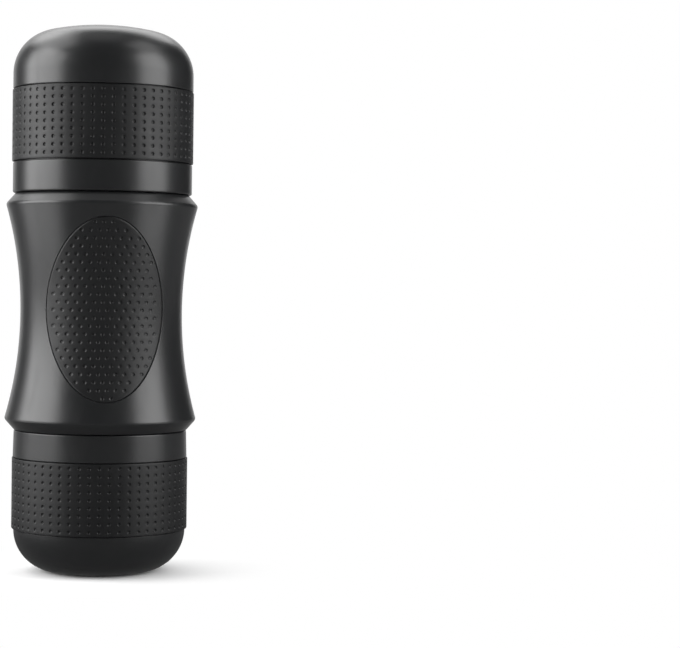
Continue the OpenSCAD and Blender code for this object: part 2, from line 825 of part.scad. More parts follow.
module inlet_valve_body() {
  color("#dcd8cc")
    translate([inlet_x, 0, 0])
      difference() {
        disc(inlet_r, inlet_foot, deck_z - hair);
        disc(chamber_r, inlet_chamber_z, inlet_seat_z);
        disc(port_seat_r, inlet_seat_z - 1, deck_z + 1, $fn = small_fn);
        disc(pipe_bore_r, inlet_foot - 1, inlet_chamber_z + 1, $fn = small_fn);
      }
}

module inlet_valve_ball() {
  color("#d5d7d9")
    translate([inlet_x, 0, inlet_seat_z - seat_drop])
      sphere(ball_r, $fn = small_fn);
}

module inlet_valve_spring() {
  color("#a9abad")
    translate([inlet_x, 0, 0])
      valve_spring(inlet_chamber_z, inlet_seat_z);
}

// Deck and neck that carry the tank
module tank_coupling() {
  inlet_hole_r = 1.1;
  hole_clear = 0.3;
  color("#1b1c1e")
    difference() {
      union() {
        disc(deck_r, deck_z, deck_top);
        tube(tank_neck_r, neck_in_r, deck_top - 1, neck_top);
        outer_ribs(tank_neck_r, rib_out, tank_rib_z, tank_rib_h);
      }
      translate([inlet_x, 0, 0])
        disc(inlet_hole_r, deck_z - 1, deck_top + 1, $fn = small_fn);
      translate([0, vent_y, 0])
        disc(vent_stem_r + hair, deck_z - 1, deck_top + 1, $fn = small_fn);
      for (a = screw_angles)
        rotate(a)
          translate([screw_circle_r, 0, 0])
            disc(screw_r + hole_clear, deck_z - 1, deck_top + 1, $fn = small_fn);
    }
}

module coupling_screws() {
  head_t = 1.25;
  length_below = 3;
  slot_w = 0.5;
  slot_depth = 0.6;
  color("#8f9194")
    for (a = screw_angles)
      rotate(a)
        translate([screw_circle_r, 0, deck_top + hair])
          difference() {
            union() {
              disc(screw_head_r, 0, head_t);
              disc(screw_r, cavity_top - length_below - deck_top, head_t - 0.3, $fn = small_fn);
            }
            for (turn = [0, 90])
              rotate(turn)
                translate([-1.2, -slot_w / 2, head_t - slot_depth])
                  cube([2.4, slot_w, 1]);
          }
}

module intake_strainer() {
  strainer_t = 0.6;
  top = deck_top + 2.2;
  color("#b9bbbd")
    translate([inlet_x, 0, 0])
      difference() {
        disc(strainer_r, deck_top + hair, top);
        disc(strainer_r - strainer_t, deck_top - 1, top - strainer_t);
        hole_rings([[1.9, 8]], 0.35, top - 2, top + 1);
      }
}

// Umbrella valve that lets air into the tank
module vent_valve() {
  bulb_r = 1.8;
  color("#b9b8b2")
    translate([0, vent_y, 0]) {
      disc(vent_cap_r, deck_top + hair, deck_top + 1);
      disc(vent_stem_r, deck_z - 1, deck_top + 0.5, $fn = small_fn);
      disc(bulb_r, deck_z - 2, deck_z - 0.4, $fn = small_fn);
    }
}

// Piston
module sleeve_bushing() {
  color("#3c3d40")
    on_piston_axis()
      tube(socket_bore_r - hair, sleeve_r + run_fit, bushing_foot, bushing_foot + bushing_len - hair);
}

module piston_sleeve() {
  bore = sleeve_r - sleeve_wall;
  edge = 1.2;
  color("#2b2c2f")
    on_piston_axis()
      turned(concat([[bore, sleeve_foot], [flange_r, sleeve_foot], [flange_r, sleeve_foot + flange_t],
        [sleeve_r, sleeve_foot + flange_t]],
        arc([sleeve_r - edge, sleeve_reach - edge], edge, 0, 90, 6),
        [[collar_r + play, sleeve_reach], [collar_r + play, sleeve_reach - lip_t],
          [bore, sleeve_reach - lip_t]]));
}

module stem_guide() {
  color("#3c3d40")
    on_piston_axis()
      tube(sleeve_r - sleeve_wall - 0.02, stem_r + run_fit, guide_foot, guide_top);
}

module piston_stem() {
  color("#0e0e10")
    on_piston_axis() {
      tube(stem_r, stem_r - stem_wall, stem_foot, head_under - hair);
      for (a = [0, 180])
        rotate(a)
          arc_block(stem_r - 0.3, lug_r, lug_angle, stem_foot, stem_foot + lug_t);
    }
}

module piston_head() {
  edge_c = head_d / 2 - head_round;
  bore = stem_r - stem_wall - 0.1;
  collar_h = 1.8;
  well_r = screw_well_r;
  journal_bore = journal_r + 0.06;
  color("#17181a")
    on_piston_axis()
      turned(concat([[bore, head_under], [stem_r + hair / 2, head_under],
        [stem_r + hair / 2, head_under - collar_h], [collar_r, head_under - collar_h],
        [collar_r, head_under]],
        arc([edge_c, head_under + head_round], head_round, -90, 0, 6),
        arc([edge_c, head_top - head_round], head_round, 0, 90, 6),
        [[cap_r + 2 * hair, head_top], [cap_r + 2 * hair, head_top - cap_t], [well_r, head_top - cap_t],
          [well_r, head_web_z + head_web_t], [journal_bore, head_web_z + head_web_t],
          [journal_bore, head_web_z], [bore, head_web_z]]));
}

module head_cap() {
  color("#101012")
    on_piston_axis()
      disc(cap_r, head_top - cap_t + hair, head_top);
}

// Screw that holds the head on the rod; the head turns under it
module head_screw() {
  thread_len = 6;
  color("#8f9194")
    on_piston_axis()
      union() {
        disc(screw_well_r - 0.5, head_web_z + head_web_t + hair, head_top - cap_t - 0.2);
        disc(screw_r, head_web_z - thread_len, head_top - cap_t - 0.4, $fn = small_fn);
      }
}

module plunger_rod() {
  seal_top = plunger_foot + tip_t + seal_len;
  tip_r = 3.2;
  color("#b9bbbd")
    on_piston_axis()
      difference() {
        union() {
          disc(rod_r, seal_top, head_web_z - hair);
          disc(journal_r, head_web_z - 1, head_web_z + head_web_t);
          disc(spigot_rod_r, plunger_foot, seal_top + 1);
          disc(tip_r, plunger_foot, plunger_foot + tip_t);
        }
        disc(screw_r + hair, head_web_z - 7, head_top, $fn = small_fn);
      }
}

// Seal with two lips round the rod's spigot
module plunger_seal() {
  z0 = plunger_foot + tip_t + hair;
  z1 = z0 + seal_len - 2 * hair;
  lip_h = 1.15;
  groove = 0.4;
  r_in = spigot_rod_r + 0.02;
  r = pump_bore_d / 2 - 0.06;
  color("#b9b8b2")
    on_piston_axis()
      turned([[r_in, z0], [r, z0], [r, z0 + lip_h], [r - groove, z0 + lip_h + groove],
        [r - groove, z1 - lip_h - groove], [r, z1 - lip_h], [r, z1], [r_in, z1]]);
}

// Envelope of the piston's return spring, between the pump's flange and the head's web
module return_spring() {
  spring_gap = 0.25;
  color("#a9abad")
    on_piston_axis()
      tube(stem_r - stem_wall - spring_gap, pump_r + spring_gap, pump_flange_top + hair, head_web_z - hair);
}

// Water tank
module tank_shell() {
  ring_r = tank_ring_d / 2;
  seat_r = tank_band_d / 2 - tank_band_t;
  side_r = dome_d / 2;
  band_z = tank_z + tank_ring_h;
  band_top = band_z + tank_band_h;
  edge = 0.4;
  crown_c = [0, tank_top - dome_crown];
  reach = dome_crown - dome_round;
  round_x = side_r - dome_round;
  round_c = [round_x, crown_c[1] + sqrt(reach * reach - round_x * round_x)];
  meet = atan2(round_c[1] - crown_c[1], round_x);
  inner_r = side_r - dome_wall;
  inner_crown = dome_crown - dome_wall;
  inner_round = dome_round - dome_wall;
  ledge_z = neck_top + tank_seal_t;
  ledge_top = ledge_z + 1.5;
  ledge_in = tank_neck_r - 1.4;
  color("#28292c")
    union() {
      turned(concat([[tank_bore_r, tank_z], [ring_r - edge, tank_z], [ring_r, tank_z + edge],
        [ring_r, band_z], [seat_r, band_z], [seat_r, band_top], [side_r, band_top]],
        arc(round_c, dome_round, 0, meet, 14), arc(crown_c, dome_crown, meet, 90, 5),
        arc(crown_c, inner_crown, 90, meet, 5), arc(round_c, inner_round, meet, 0, 14),
        [[inner_r, ledge_top], [ledge_in, ledge_top], [ledge_in, ledge_z], [tank_bore_r, ledge_z]]));
      inner_ribs(tank_neck_r, tank_bore_r, tank_rib_z, tank_rib_h, rib_shift);
    }
}

module tank_grip_band() {
  z0 = tank_z + tank_ring_h;
  color("#202124")
    band_ring(tank_band_d / 2 - tank_band_t, tank_band_d / 2, z0 + hair, z0 + tank_band_h - hair);
}

module tank_seal() {
  color("#3a3a3c")
    tube(tank_neck_r, neck_in_r + 0.2, neck_top + hair, neck_top + tank_seal_t - hair);
}

cup_shell();
cup_grip_band();
cup_seal();
outlet_head();
outlet_spout();
outlet_seal();
filter_basket();
filter_disc();
body_shell();
grip_pad();
brew_group();
shower_screen();
screen_screw();
group_gasket();
outlet_valve_ball();
outlet_valve_spring();
pressure_tube();
pump_cylinder();
cylinder_clip();
suction_tube();
inlet_valve_body();
inlet_valve_ball();
inlet_valve_spring();
tank_coupling();
coupling_screws();
intake_strainer();
vent_valve();
sleeve_bushing();
piston_sleeve();
stem_guide();
piston_stem();
piston_head();
head_cap();
head_screw();
plunger_rod();
plunger_seal();
return_spring();
tank_seal();
tank_shell();
tank_grip_band();
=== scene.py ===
"""Looks of a hand-pumped portable coffee maker, built round its packed construction model.

Every visible piece is modelled here as by hand, in millimetres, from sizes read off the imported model,
and is then scaled to metres and set to ride on the body that it belongs to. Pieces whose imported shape
is already right keep it and get their finish only.
"""

from __future__ import annotations

import json
import logging
import math
from dataclasses import dataclass, field
from enum import Enum
from typing import Any, Callable, Iterable, NamedTuple, Sequence

import bpy
from mathutils import Matrix, Vector

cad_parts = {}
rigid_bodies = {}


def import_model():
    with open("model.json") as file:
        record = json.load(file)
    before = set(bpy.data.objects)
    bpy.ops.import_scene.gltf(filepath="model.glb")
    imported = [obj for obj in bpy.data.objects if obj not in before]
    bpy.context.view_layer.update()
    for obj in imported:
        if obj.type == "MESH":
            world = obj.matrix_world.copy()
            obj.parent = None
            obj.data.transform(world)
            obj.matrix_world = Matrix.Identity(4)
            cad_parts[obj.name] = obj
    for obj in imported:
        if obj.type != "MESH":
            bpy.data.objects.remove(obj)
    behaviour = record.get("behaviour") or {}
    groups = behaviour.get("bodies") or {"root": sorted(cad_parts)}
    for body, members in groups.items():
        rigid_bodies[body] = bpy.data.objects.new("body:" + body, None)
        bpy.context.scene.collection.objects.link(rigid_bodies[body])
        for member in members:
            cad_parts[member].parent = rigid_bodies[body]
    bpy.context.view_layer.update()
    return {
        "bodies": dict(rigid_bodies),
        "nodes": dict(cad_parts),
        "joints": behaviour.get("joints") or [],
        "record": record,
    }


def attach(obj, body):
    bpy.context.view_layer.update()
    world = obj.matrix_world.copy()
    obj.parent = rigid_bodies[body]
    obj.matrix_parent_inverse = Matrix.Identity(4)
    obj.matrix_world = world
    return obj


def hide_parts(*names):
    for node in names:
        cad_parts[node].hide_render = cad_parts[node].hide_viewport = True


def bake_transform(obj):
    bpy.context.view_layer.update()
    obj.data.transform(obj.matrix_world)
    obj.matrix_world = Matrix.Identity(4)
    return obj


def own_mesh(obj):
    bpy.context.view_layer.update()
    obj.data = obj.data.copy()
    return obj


LOG = logging.getLogger("coffee_maker")
TAU = 2 * math.pi

# One millimetre in metres: pieces are modelled in millimetres, and the scene is in metres.
MM = 0.001
# Play between pieces that fit into one another, in millimetres.
CLEARANCE = 0.05
# How closely a place on the body's surface is searched for, in millimetres.
SMALLEST = 3e-7

Point = tuple[float, float]
Corner = tuple[float, ...]
Colour = tuple[float, float, float]


class Slot(Enum):
    """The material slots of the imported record."""

    HOUSING = "housing"
    GRIP = "grip"
    GLOSS = "gloss_black"
    INNER = "inner_black"
    PUMP = "pump_white"
    BEARING = "bearing_grey"
    STEEL = "steel"
    SEAL_GREY = "silicone_grey"
    SEAL_BLACK = "silicone_black"


class Detail(Enum):
    """How many steps a turned piece has round its axis."""

    SHELL = 192
    PART = 128
    SMALL = 64


def arc(centre: Point, radius: float, start: float, end: float, steps: int = 12) -> list[Corner]:
    """Points of an arc in a section.

    Args:
        centre: Radius and height of the arc's centre.
        radius: Radius of the arc.
        start: First angle in degrees, counted from the outward direction towards up.
        end: Last angle in degrees.
        steps: Number of chords.

    Returns:
        The points in order, both ends included.
    """
    turn = [math.radians(start + (end - start) * i / steps) for i in range(steps + 1)]
    return [(centre[0] + radius * math.cos(a), centre[1] + radius * math.sin(a)) for a in turn]


def fillet(before: Vector, here: Vector, after: Vector, radius: float, step: float = 18.0) -> list[Point]:
    """Arc that rounds one corner of a section.

    Args:
        before: The corner before this one.
        here: The corner to round.
        after: The corner after this one.
        radius: Radius of the rounding, which the two sides may limit.
        step: Largest angle of one chord, in degrees.

    Returns:
        Points from one tangent point to the other.
    """
    back, ahead = (before - here), (after - here)
    half = back.angle(ahead) / 2
    reach = min(radius / math.tan(half), 0.49 * back.length, 0.49 * ahead.length)
    radius = reach * math.tan(half)
    back.normalize()
    ahead.normalize()
    centre = here + (back + ahead).normalized() * (radius / math.sin(half))
    arm = here + back * reach - centre
    last = here + ahead * reach - centre
    sweep = math.atan2(arm.x * last.y - arm.y * last.x, arm.dot(last))
    steps = max(2, math.ceil(abs(math.degrees(sweep)) / step))
    turns = [Matrix.Rotation(sweep * i / steps, 2) for i in range(steps + 1)]
    return [tuple(centre + turn @ arm) for turn in turns]


def rounded(corners: Sequence[Corner], closed: bool) -> list[Point]:
    """Rounds the corners of a section.

    Args:
        corners: Radius and height of each corner, with a rounding radius where it has one.
        closed: Whether the last corner joins the first.

    Returns:
        The outline's points, with the first repeated at the end of a closed one.
    """
    points: list[Point] = []
    count = len(corners)
    for index, corner in enumerate(corners):
        loose_end = not closed and index in (0, count - 1)
        if len(corner) < 3 or loose_end:
            points.append((corner[0], corner[1]))
            continue
        before = Vector(corners[index - 1][:2])
        after = Vector(corners[(index + 1) % count][:2])
        points.extend(fillet(before, Vector(corner[:2]), after, corner[2]))
    return points + points[:1] if closed else points


def beside(x: float, y: float = 0.0, angle: float = 0.0) -> Matrix:
    """Matrix that takes an upright piece beside the axis, and then round it by an angle in degrees."""
    return Matrix.Rotation(math.radians(angle), 4, "Z") @ Matrix.Translation((x, y, 0))


class Bench:
    """Blender's modelling tools, used as by hand on one piece at a time, in millimetres."""

    @staticmethod
    def only(*pieces: bpy.types.Object) -> None:
        """Selects these pieces alone and makes the first one active.

        Args:
            pieces: The pieces, the active one first.
        """
        bpy.ops.object.select_all(action="DESELECT")
        for piece in pieces:
            piece.select_set(True)
        bpy.context.view_layer.objects.active = pieces[0]

    @staticmethod
    def named(name: str) -> bpy.types.Object:
        """Names the active piece and its mesh, and gives it back.

        Args:
            name: The piece's name.

        Returns:
            The piece.
        """
        piece = bpy.context.object
        piece.name = piece.data.name = name
        return piece

    @classmethod
    def started(cls, name: str, primitive: Callable[..., Any], **settings: Any) -> bpy.types.Object:
        """Adds a primitive with nothing else selected, and settles its place in its mesh.

        Args:
            name: The piece's name.
            primitive: The operator that adds it.
            settings: The operator's settings.

        Returns:
            The piece.
        """
        bpy.ops.object.select_all(action="DESELECT")
        primitive(**settings)
        piece = cls.named(name)
        bpy.ops.object.transform_apply(location=True, rotation=True, scale=True)
        return piece

    @staticmethod
    def edit(action: str = "DESELECT") -> None:
        """Enters edit mode on vertices, with nothing selected, or with everything for SELECT.

        Args:
            action: DESELECT, or SELECT to begin with everything selected.
        """
        bpy.ops.object.mode_set(mode="EDIT")
        bpy.ops.mesh.select_mode(type="VERT")
        bpy.ops.mesh.select_all(action=action)

    @staticmethod
    def close_edit() -> None:
        """Leaves edit mode."""
        bpy.ops.object.mode_set(mode="OBJECT")

    @classmethod
    def pick(cls, kind: str, wanted: Callable[[Vector], bool]) -> None:
        """Selects vertices, edges or faces of the active piece by their place, while it is in edit mode.

        Args:
            kind: VERT, EDGE or FACE.
            wanted: Test on a vertex's place, or on the middle of a face; an edge needs both its ends.
        """
        bpy.ops.mesh.select_mode(type=kind)
        bpy.ops.mesh.select_all(action="DESELECT")
        cls.close_edit()
        mesh = bpy.context.object.data
        if kind == "FACE":
            chosen = [face for face in mesh.polygons if wanted(face.center)]
        else:
            chosen = [vertex for vertex in mesh.vertices if wanted(vertex.co)]
        if kind == "EDGE":
            hits = {vertex.index for vertex in chosen}
            chosen = [edge for edge in mesh.edges if hits.issuperset(edge.vertices)]
        for part in chosen:
            part.select = True
        bpy.ops.object.mode_set(mode="EDIT")

    @staticmethod
    def extrude(shift: Sequence[float]) -> None:
        """Extrudes the selected edges and moves the new ones."""
        bpy.ops.mesh.extrude_edges_move(TRANSFORM_OT_translate={"value": shift})

    @classmethod
    def tidy(cls, distance: float = 0.002) -> None:
        """Merges doubled vertices of the piece in edit mode and turns its faces outwards.

        Args:
            distance: How far apart two vertices may be to be merged.
        """
        bpy.ops.mesh.select_mode(type="VERT")
        bpy.ops.mesh.select_all(action="SELECT")
        bpy.ops.mesh.remove_doubles(threshold=distance)
        bpy.ops.mesh.normals_make_consistent(inside=False)
        cls.close_edit()

    @classmethod
    def point(cls, name: str, radius: float, height: float) -> bpy.types.Object:
        """Starts a piece in edit mode as a single vertex, from which a section is drawn.

        Args:
            name: The piece's name.
            radius: The vertex's distance from the upright axis.
            height: Its height.

        Returns:
            The piece.
        """
        piece = cls.started(name, bpy.ops.mesh.primitive_circle_add, vertices=3, radius=0.1,
                            location=(radius, 0, height))
        cls.edit("SELECT")
        bpy.ops.mesh.merge(type="CENTER")
        return piece

    @staticmethod
    def spun(steps: int, angle: float, copies: bool = False) -> None:
        """Spins the whole piece in edit mode round the upright axis, to a surface or to copies."""
        bpy.ops.mesh.select_all(action="SELECT")
        bpy.ops.mesh.spin(steps=steps, angle=angle, center=(0, 0, 0), axis=(0, 0, 1), dupli=copies)

    @classmethod
    def turned(cls, name: str, corners: Sequence[Corner], detail: Detail = Detail.SHELL,
               closed: bool = True) -> bpy.types.Object:
        """Turns a section round the upright axis.

        Args:
            name: The piece's name.
            corners: The section's corners, as in rounded().
            detail: Number of steps round the axis.
            closed: False for a section whose two ends lie on the axis.

        Returns:
            The turned piece.
        """
        outline = rounded(corners, closed)
        piece = cls.point(name, *outline[0])
        for here, there in zip(outline, outline[1:]):
            step = (there[0] - here[0], 0, there[1] - here[1])
            bpy.ops.mesh.extrude_vertices_move(TRANSFORM_OT_translate={"value": step})
        cls.spun(detail.value, TAU)
        cls.tidy()
        return piece

    @classmethod
    def rod(cls, name: str, radius: float, low: float, high: float, sides: int = 96,
            at: Matrix | None = None) -> bpy.types.Object:
        """A plain round rod on an axis, which serves as a cutter or is cut itself.

        Args:
            name: The rod's name.
            radius: Its radius.
            low: Height of its lower end.
            high: Height of its upper end.
            sides: Number of sides.
            at: Matrix that takes it from the upright axis to its own; it stays upright if left out.

        Returns:
            The rod.
        """
        piece = cls.started(name, bpy.ops.mesh.primitive_cylinder_add, vertices=sides, radius=radius,
                            depth=high - low, location=(0, 0, (low + high) / 2))
        return cls.moved(piece, at or Matrix.Identity(4))

    @classmethod
    def block(cls, name: str, low: Sequence[float], high: Sequence[float]) -> bpy.types.Object:
        """A plain block between two corners, which serves as a cutter or a rib.

        Args:
            name: The block's name.
            low: Its lower corner.
            high: Its upper corner.

        Returns:
            The block.
        """
        size = [b - a for a, b in zip(low, high)]
        middle = [(a + b) / 2 for a, b in zip(low, high)]
        piece = cls.started(name, bpy.ops.mesh.primitive_cube_add, size=1)
        return cls.moved(piece, Matrix.Translation(middle) @ Matrix.Diagonal((*size, 1)))

    @classmethod
    def copied(cls, piece: bpy.types.Object) -> bpy.types.Object:
        """Copies a piece with its mesh.

        Args:
            piece: The piece to copy.

        Returns:
            The copy.
        """
        cls.only(piece)
        bpy.ops.object.duplicate(linked=False)
        return bpy.context.object

    @classmethod
    def ringed(cls, piece: bpy.types.Object, count: int) -> bpy.types.Object:
        """Repeats a piece evenly round the upright axis, within its own mesh.

        Args:
            piece: The piece to repeat.
            count: How many there are in the ring.

        Returns:
            The same piece, now a ring.
        """
        cls.only(piece)
        cls.edit()
        cls.spun(count - 1, TAU * (count - 1) / count, True)
        cls.close_edit()
        return piece

    @classmethod
    def holes(cls, rings: Sequence[tuple[float, int]], radius: float, low: float,
              high: float) -> bpy.types.Object:
        """Rods for holes in rings.

        Args:
            rings: Radius of each ring and its number of holes.
            radius: Radius of a hole.
            low: Lower end of the rods.
            high: Upper end of the rods.

        Returns:
            One cutter with all the rods.
        """
        rods = []
        for reach, count in rings:
            rods.append(cls.ringed(cls.rod("hole", radius, low, high, 16, beside(reach)), count))
        return cls.joined("holes", rods)

    @classmethod
    def modified(cls, piece: bpy.types.Object, kind: str, **settings: Any) -> None:
        """Adds a modifier with these settings to a piece, and applies it.

        Args:
            piece: The piece to change.
            kind: The modifier's type.
            settings: Its settings.
        """
        cls.only(piece)
        bpy.ops.object.modifier_add(type=kind)
        modifier = piece.modifiers[-1]
        for name, setting in settings.items():
            setattr(modifier, name, setting)
        bpy.ops.object.modifier_apply(modifier=modifier.name)

    @classmethod
    def combine(cls, piece: bpy.types.Object, operation: str, *others: bpy.types.Object) -> None:
        """Cuts, joins or crosses a piece with others, which are used up.

        Args:
            piece: The piece that stays.
            operation: DIFFERENCE, UNION or INTERSECT.
            others: The pieces to combine it with, one after the other.
        """
        for other in others:
            cls.modified(piece, "BOOLEAN", solver="EXACT", operation=operation, object=other)
            bpy.data.objects.remove(other)

    @classmethod
    def moved(cls, piece: bpy.types.Object, matrix: Matrix) -> bpy.types.Object:
        """Moves and turns a piece, and settles the move in its mesh.

        Args:
            piece: The piece to move.
            matrix: Where to, from where it was modelled.

        Returns:
            The same piece.
        """
        cls.only(piece)
        piece.matrix_world = matrix
        bpy.ops.object.transform_apply(location=True, rotation=True, scale=True)
        return piece

    @classmethod
    def joined(cls, name: str, pieces: Sequence[bpy.types.Object]) -> bpy.types.Object:
        """Joins pieces into one.

        Args:
            name: Name of the joined piece.
            pieces: The pieces; the first one keeps its object.

        Returns:
            The joined piece.
        """
        cls.only(*pieces)
        bpy.ops.object.join()
        return cls.named(name)

    @classmethod
    def smooth(cls, piece: bpy.types.Object, angle: float = 32.0) -> bpy.types.Object:
        """Shades a piece smooth, with creases past an angle and flats that stay flat.

        Args:
            piece: The piece to shade.
            angle: Smallest angle of a crease, in degrees.

        Returns:
            The same piece.
        """
        cls.only(piece)
        bpy.ops.object.shade_smooth_by_angle(angle=math.radians(angle))
        cls.modified(piece, "WEIGHTED_NORMAL", keep_sharp=True)
        return piece


@dataclass(frozen=True)
class Extent:
    """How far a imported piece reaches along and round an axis, in millimetres."""

    low: float
    high: float
    inner: float
    outer: float

    def ring(self, *rounds: float) -> list[Corner]:
        """Section of a plain ring of this extent.

        Args:
            rounds: Rounding of the lower inner, lower outer, upper outer and upper inner corner.

        Returns:
            The section's corners, with no rounding where it is 0.
        """
        across = (self.inner, self.outer, self.outer, self.inner)
        places = zip(across, (self.low, self.low, self.high, self.high))
        return [(*place, radius) if radius else place for place, radius in zip(places, rounds)]


@dataclass
class Model:
    """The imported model: its pieces, its axes and the finishes of its slots."""

    frame: dict[str, Any]
    finishes: dict[Slot, bpy.types.Material] = field(default_factory=dict)

    def joint(self, name: str) -> dict[str, Any]:
        """The record's joint of that name."""
        return next(joint for joint in self.frame["joints"] if joint["name"] == name)

    @property
    def piston(self) -> Matrix:
        """Matrix that takes an upright piece to the piston's slanted axis, in millimetres.

        Returns:
            The matrix.
        """
        joint = self.joint("lock_turn")
        tilt = Vector((0, 0, 1)).rotation_difference(Vector(joint["axis"]))
        return Matrix.Translation(Vector(joint["pos_m"]) / MM) @ tilt.to_matrix().to_4x4()

    def measure(self, node: str, axis: Matrix | None = None) -> Extent:
        """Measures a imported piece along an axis.

        Args:
            node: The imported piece's name.
            axis: Matrix of the axis, as piston gives it; the upright axis if left out.

        Returns:
            Its extent, in millimetres.
        """
        back = (axis or Matrix.Identity(4)).inverted() @ Matrix.Scale(1 / MM, 4)
        places = [back @ vertex.co for vertex in self.frame["nodes"][node].data.vertices]
        radii = [math.hypot(place.x, place.y) for place in places]
        heights = [place.z for place in places]
        return Extent(min(heights), max(heights), min(radii), max(radii))

    def slot_of(self, node: str) -> Slot:
        """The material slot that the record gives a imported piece."""
        parts = self.frame["record"]["subparts"]
        return Slot(next(part["material_slot"] for part in parts if part["node"] == node))

    def body_of(self, node: str) -> str:
        """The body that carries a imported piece."""
        bodies = self.frame["record"]["behaviour"]["bodies"]
        return next(body for body, nodes in bodies.items() if node in nodes)

    def turned(self, node: str, corners: Sequence[Corner], closed: bool = True, detail: Detail = Detail.PART,
               axis: Matrix | None = None, cutters: Sequence[bpy.types.Object] = ()) -> bpy.types.Object:
        """Turns a plain piece, cuts its openings and puts it in the place of a packed one.

        Args:
            node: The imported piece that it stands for.
            corners: The section's corners, as in rounded().
            closed: False for a section whose two ends lie on the axis.
            detail: Number of steps round the axis.
            axis: Matrix of its axis, as piston gives it; the upright axis if left out.
            cutters: Pieces to take away from it, which stand on the same axis.

        Returns:
            The piece.
        """
        piece = Bench.turned(node, corners, detail, closed)
        Bench.combine(piece, "DIFFERENCE", *cutters)
        if axis:
            Bench.moved(piece, axis)
        return self.place(Bench.smooth(piece), node)

    def place(self, piece: bpy.types.Object, node: str, ride: bool = True) -> bpy.types.Object:
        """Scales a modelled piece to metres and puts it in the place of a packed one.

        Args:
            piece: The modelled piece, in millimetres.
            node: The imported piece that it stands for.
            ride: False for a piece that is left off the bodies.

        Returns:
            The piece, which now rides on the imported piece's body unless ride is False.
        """
        Bench.moved(piece, Matrix.Scale(MM, 4))
        piece.name = f"{node}.form"
        slot = self.slot_of(node)
        piece.data.materials.clear()
        piece.data.materials.append(self.finishes[slot])
        if ride:
            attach(piece, self.body_of(node))
        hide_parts(node)
        LOG.info("%s: %d faces on %s", piece.name, len(piece.data.polygons), self.body_of(node))
        return piece

    def dress(self, nodes: Iterable[str]) -> None:
        """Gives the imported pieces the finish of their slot, for those that keep their shape.

        Args:
            nodes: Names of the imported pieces.
        """
        for node in nodes:
            mesh = self.frame["nodes"][node].data
            mesh.materials.clear()
            mesh.materials.append(self.finishes[self.slot_of(node)])
            LOG.info("%s: packed shape in %s", node, mesh.materials[0].name)


@dataclass
class Assembly:
    """A sub-assembly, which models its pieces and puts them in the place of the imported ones."""

    model: Model

    def size(self, node: str, axis: Matrix | None = None) -> Extent:
        """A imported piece's extent along an axis, as Model.measure() gives it."""
        return self.model.measure(node, axis)

    def build(self) -> None:
        """Models the pieces and puts them in place; each sub-assembly has its own."""
        raise NotImplementedError


class Value:
    """A number in a shader, on which plain arithmetic adds Math nodes."""

    def __init__(self, shader: Shader, socket: bpy.types.NodeSocket) -> None:
        """Wraps a node's output."""
        self.shader = shader
        self.socket = socket

    def math(self, operation: str, *terms: Value | float) -> Value:
        """Adds a Math node for these operands and gives its result."""
        node = self.shader.node("ShaderNodeMath", {"operation": operation}, dict(enumerate(terms)))
        return Value(self.shader, node.outputs[0])

    def __add__(self, other: Value | float) -> Value:
        """self + other."""
        return self.math("ADD", self, other)

    def __radd__(self, other: float) -> Value:
        """other + self."""
        return self.math("ADD", other, self)

    def __sub__(self, other: Value | float) -> Value:
        """self - other."""
        return self.math("SUBTRACT", self, other)

    def __rsub__(self, other: float) -> Value:
        """other - self."""
        return self.math("SUBTRACT", other, self)

    def __mul__(self, other: Value | float) -> Value:
        """self * other."""
        return self.math("MULTIPLY", self, other)

    def step(self, low: float, high: float) -> Value:
        """Rises smoothly from 0 at low to 1 at high.

        Args:
            low: Value at which the result leaves 0.
            high: Value at which the result reaches 1.

        Returns:
            The smoothed mask.
        """
        settings = {"interpolation_type": "SMOOTHSTEP", "clamp": True}
        inputs = {"Value": self, "From Min": low, "From Max": high}
        return Value(self.shader, self.shader.node("ShaderNodeMapRange", settings, inputs).outputs["Result"])


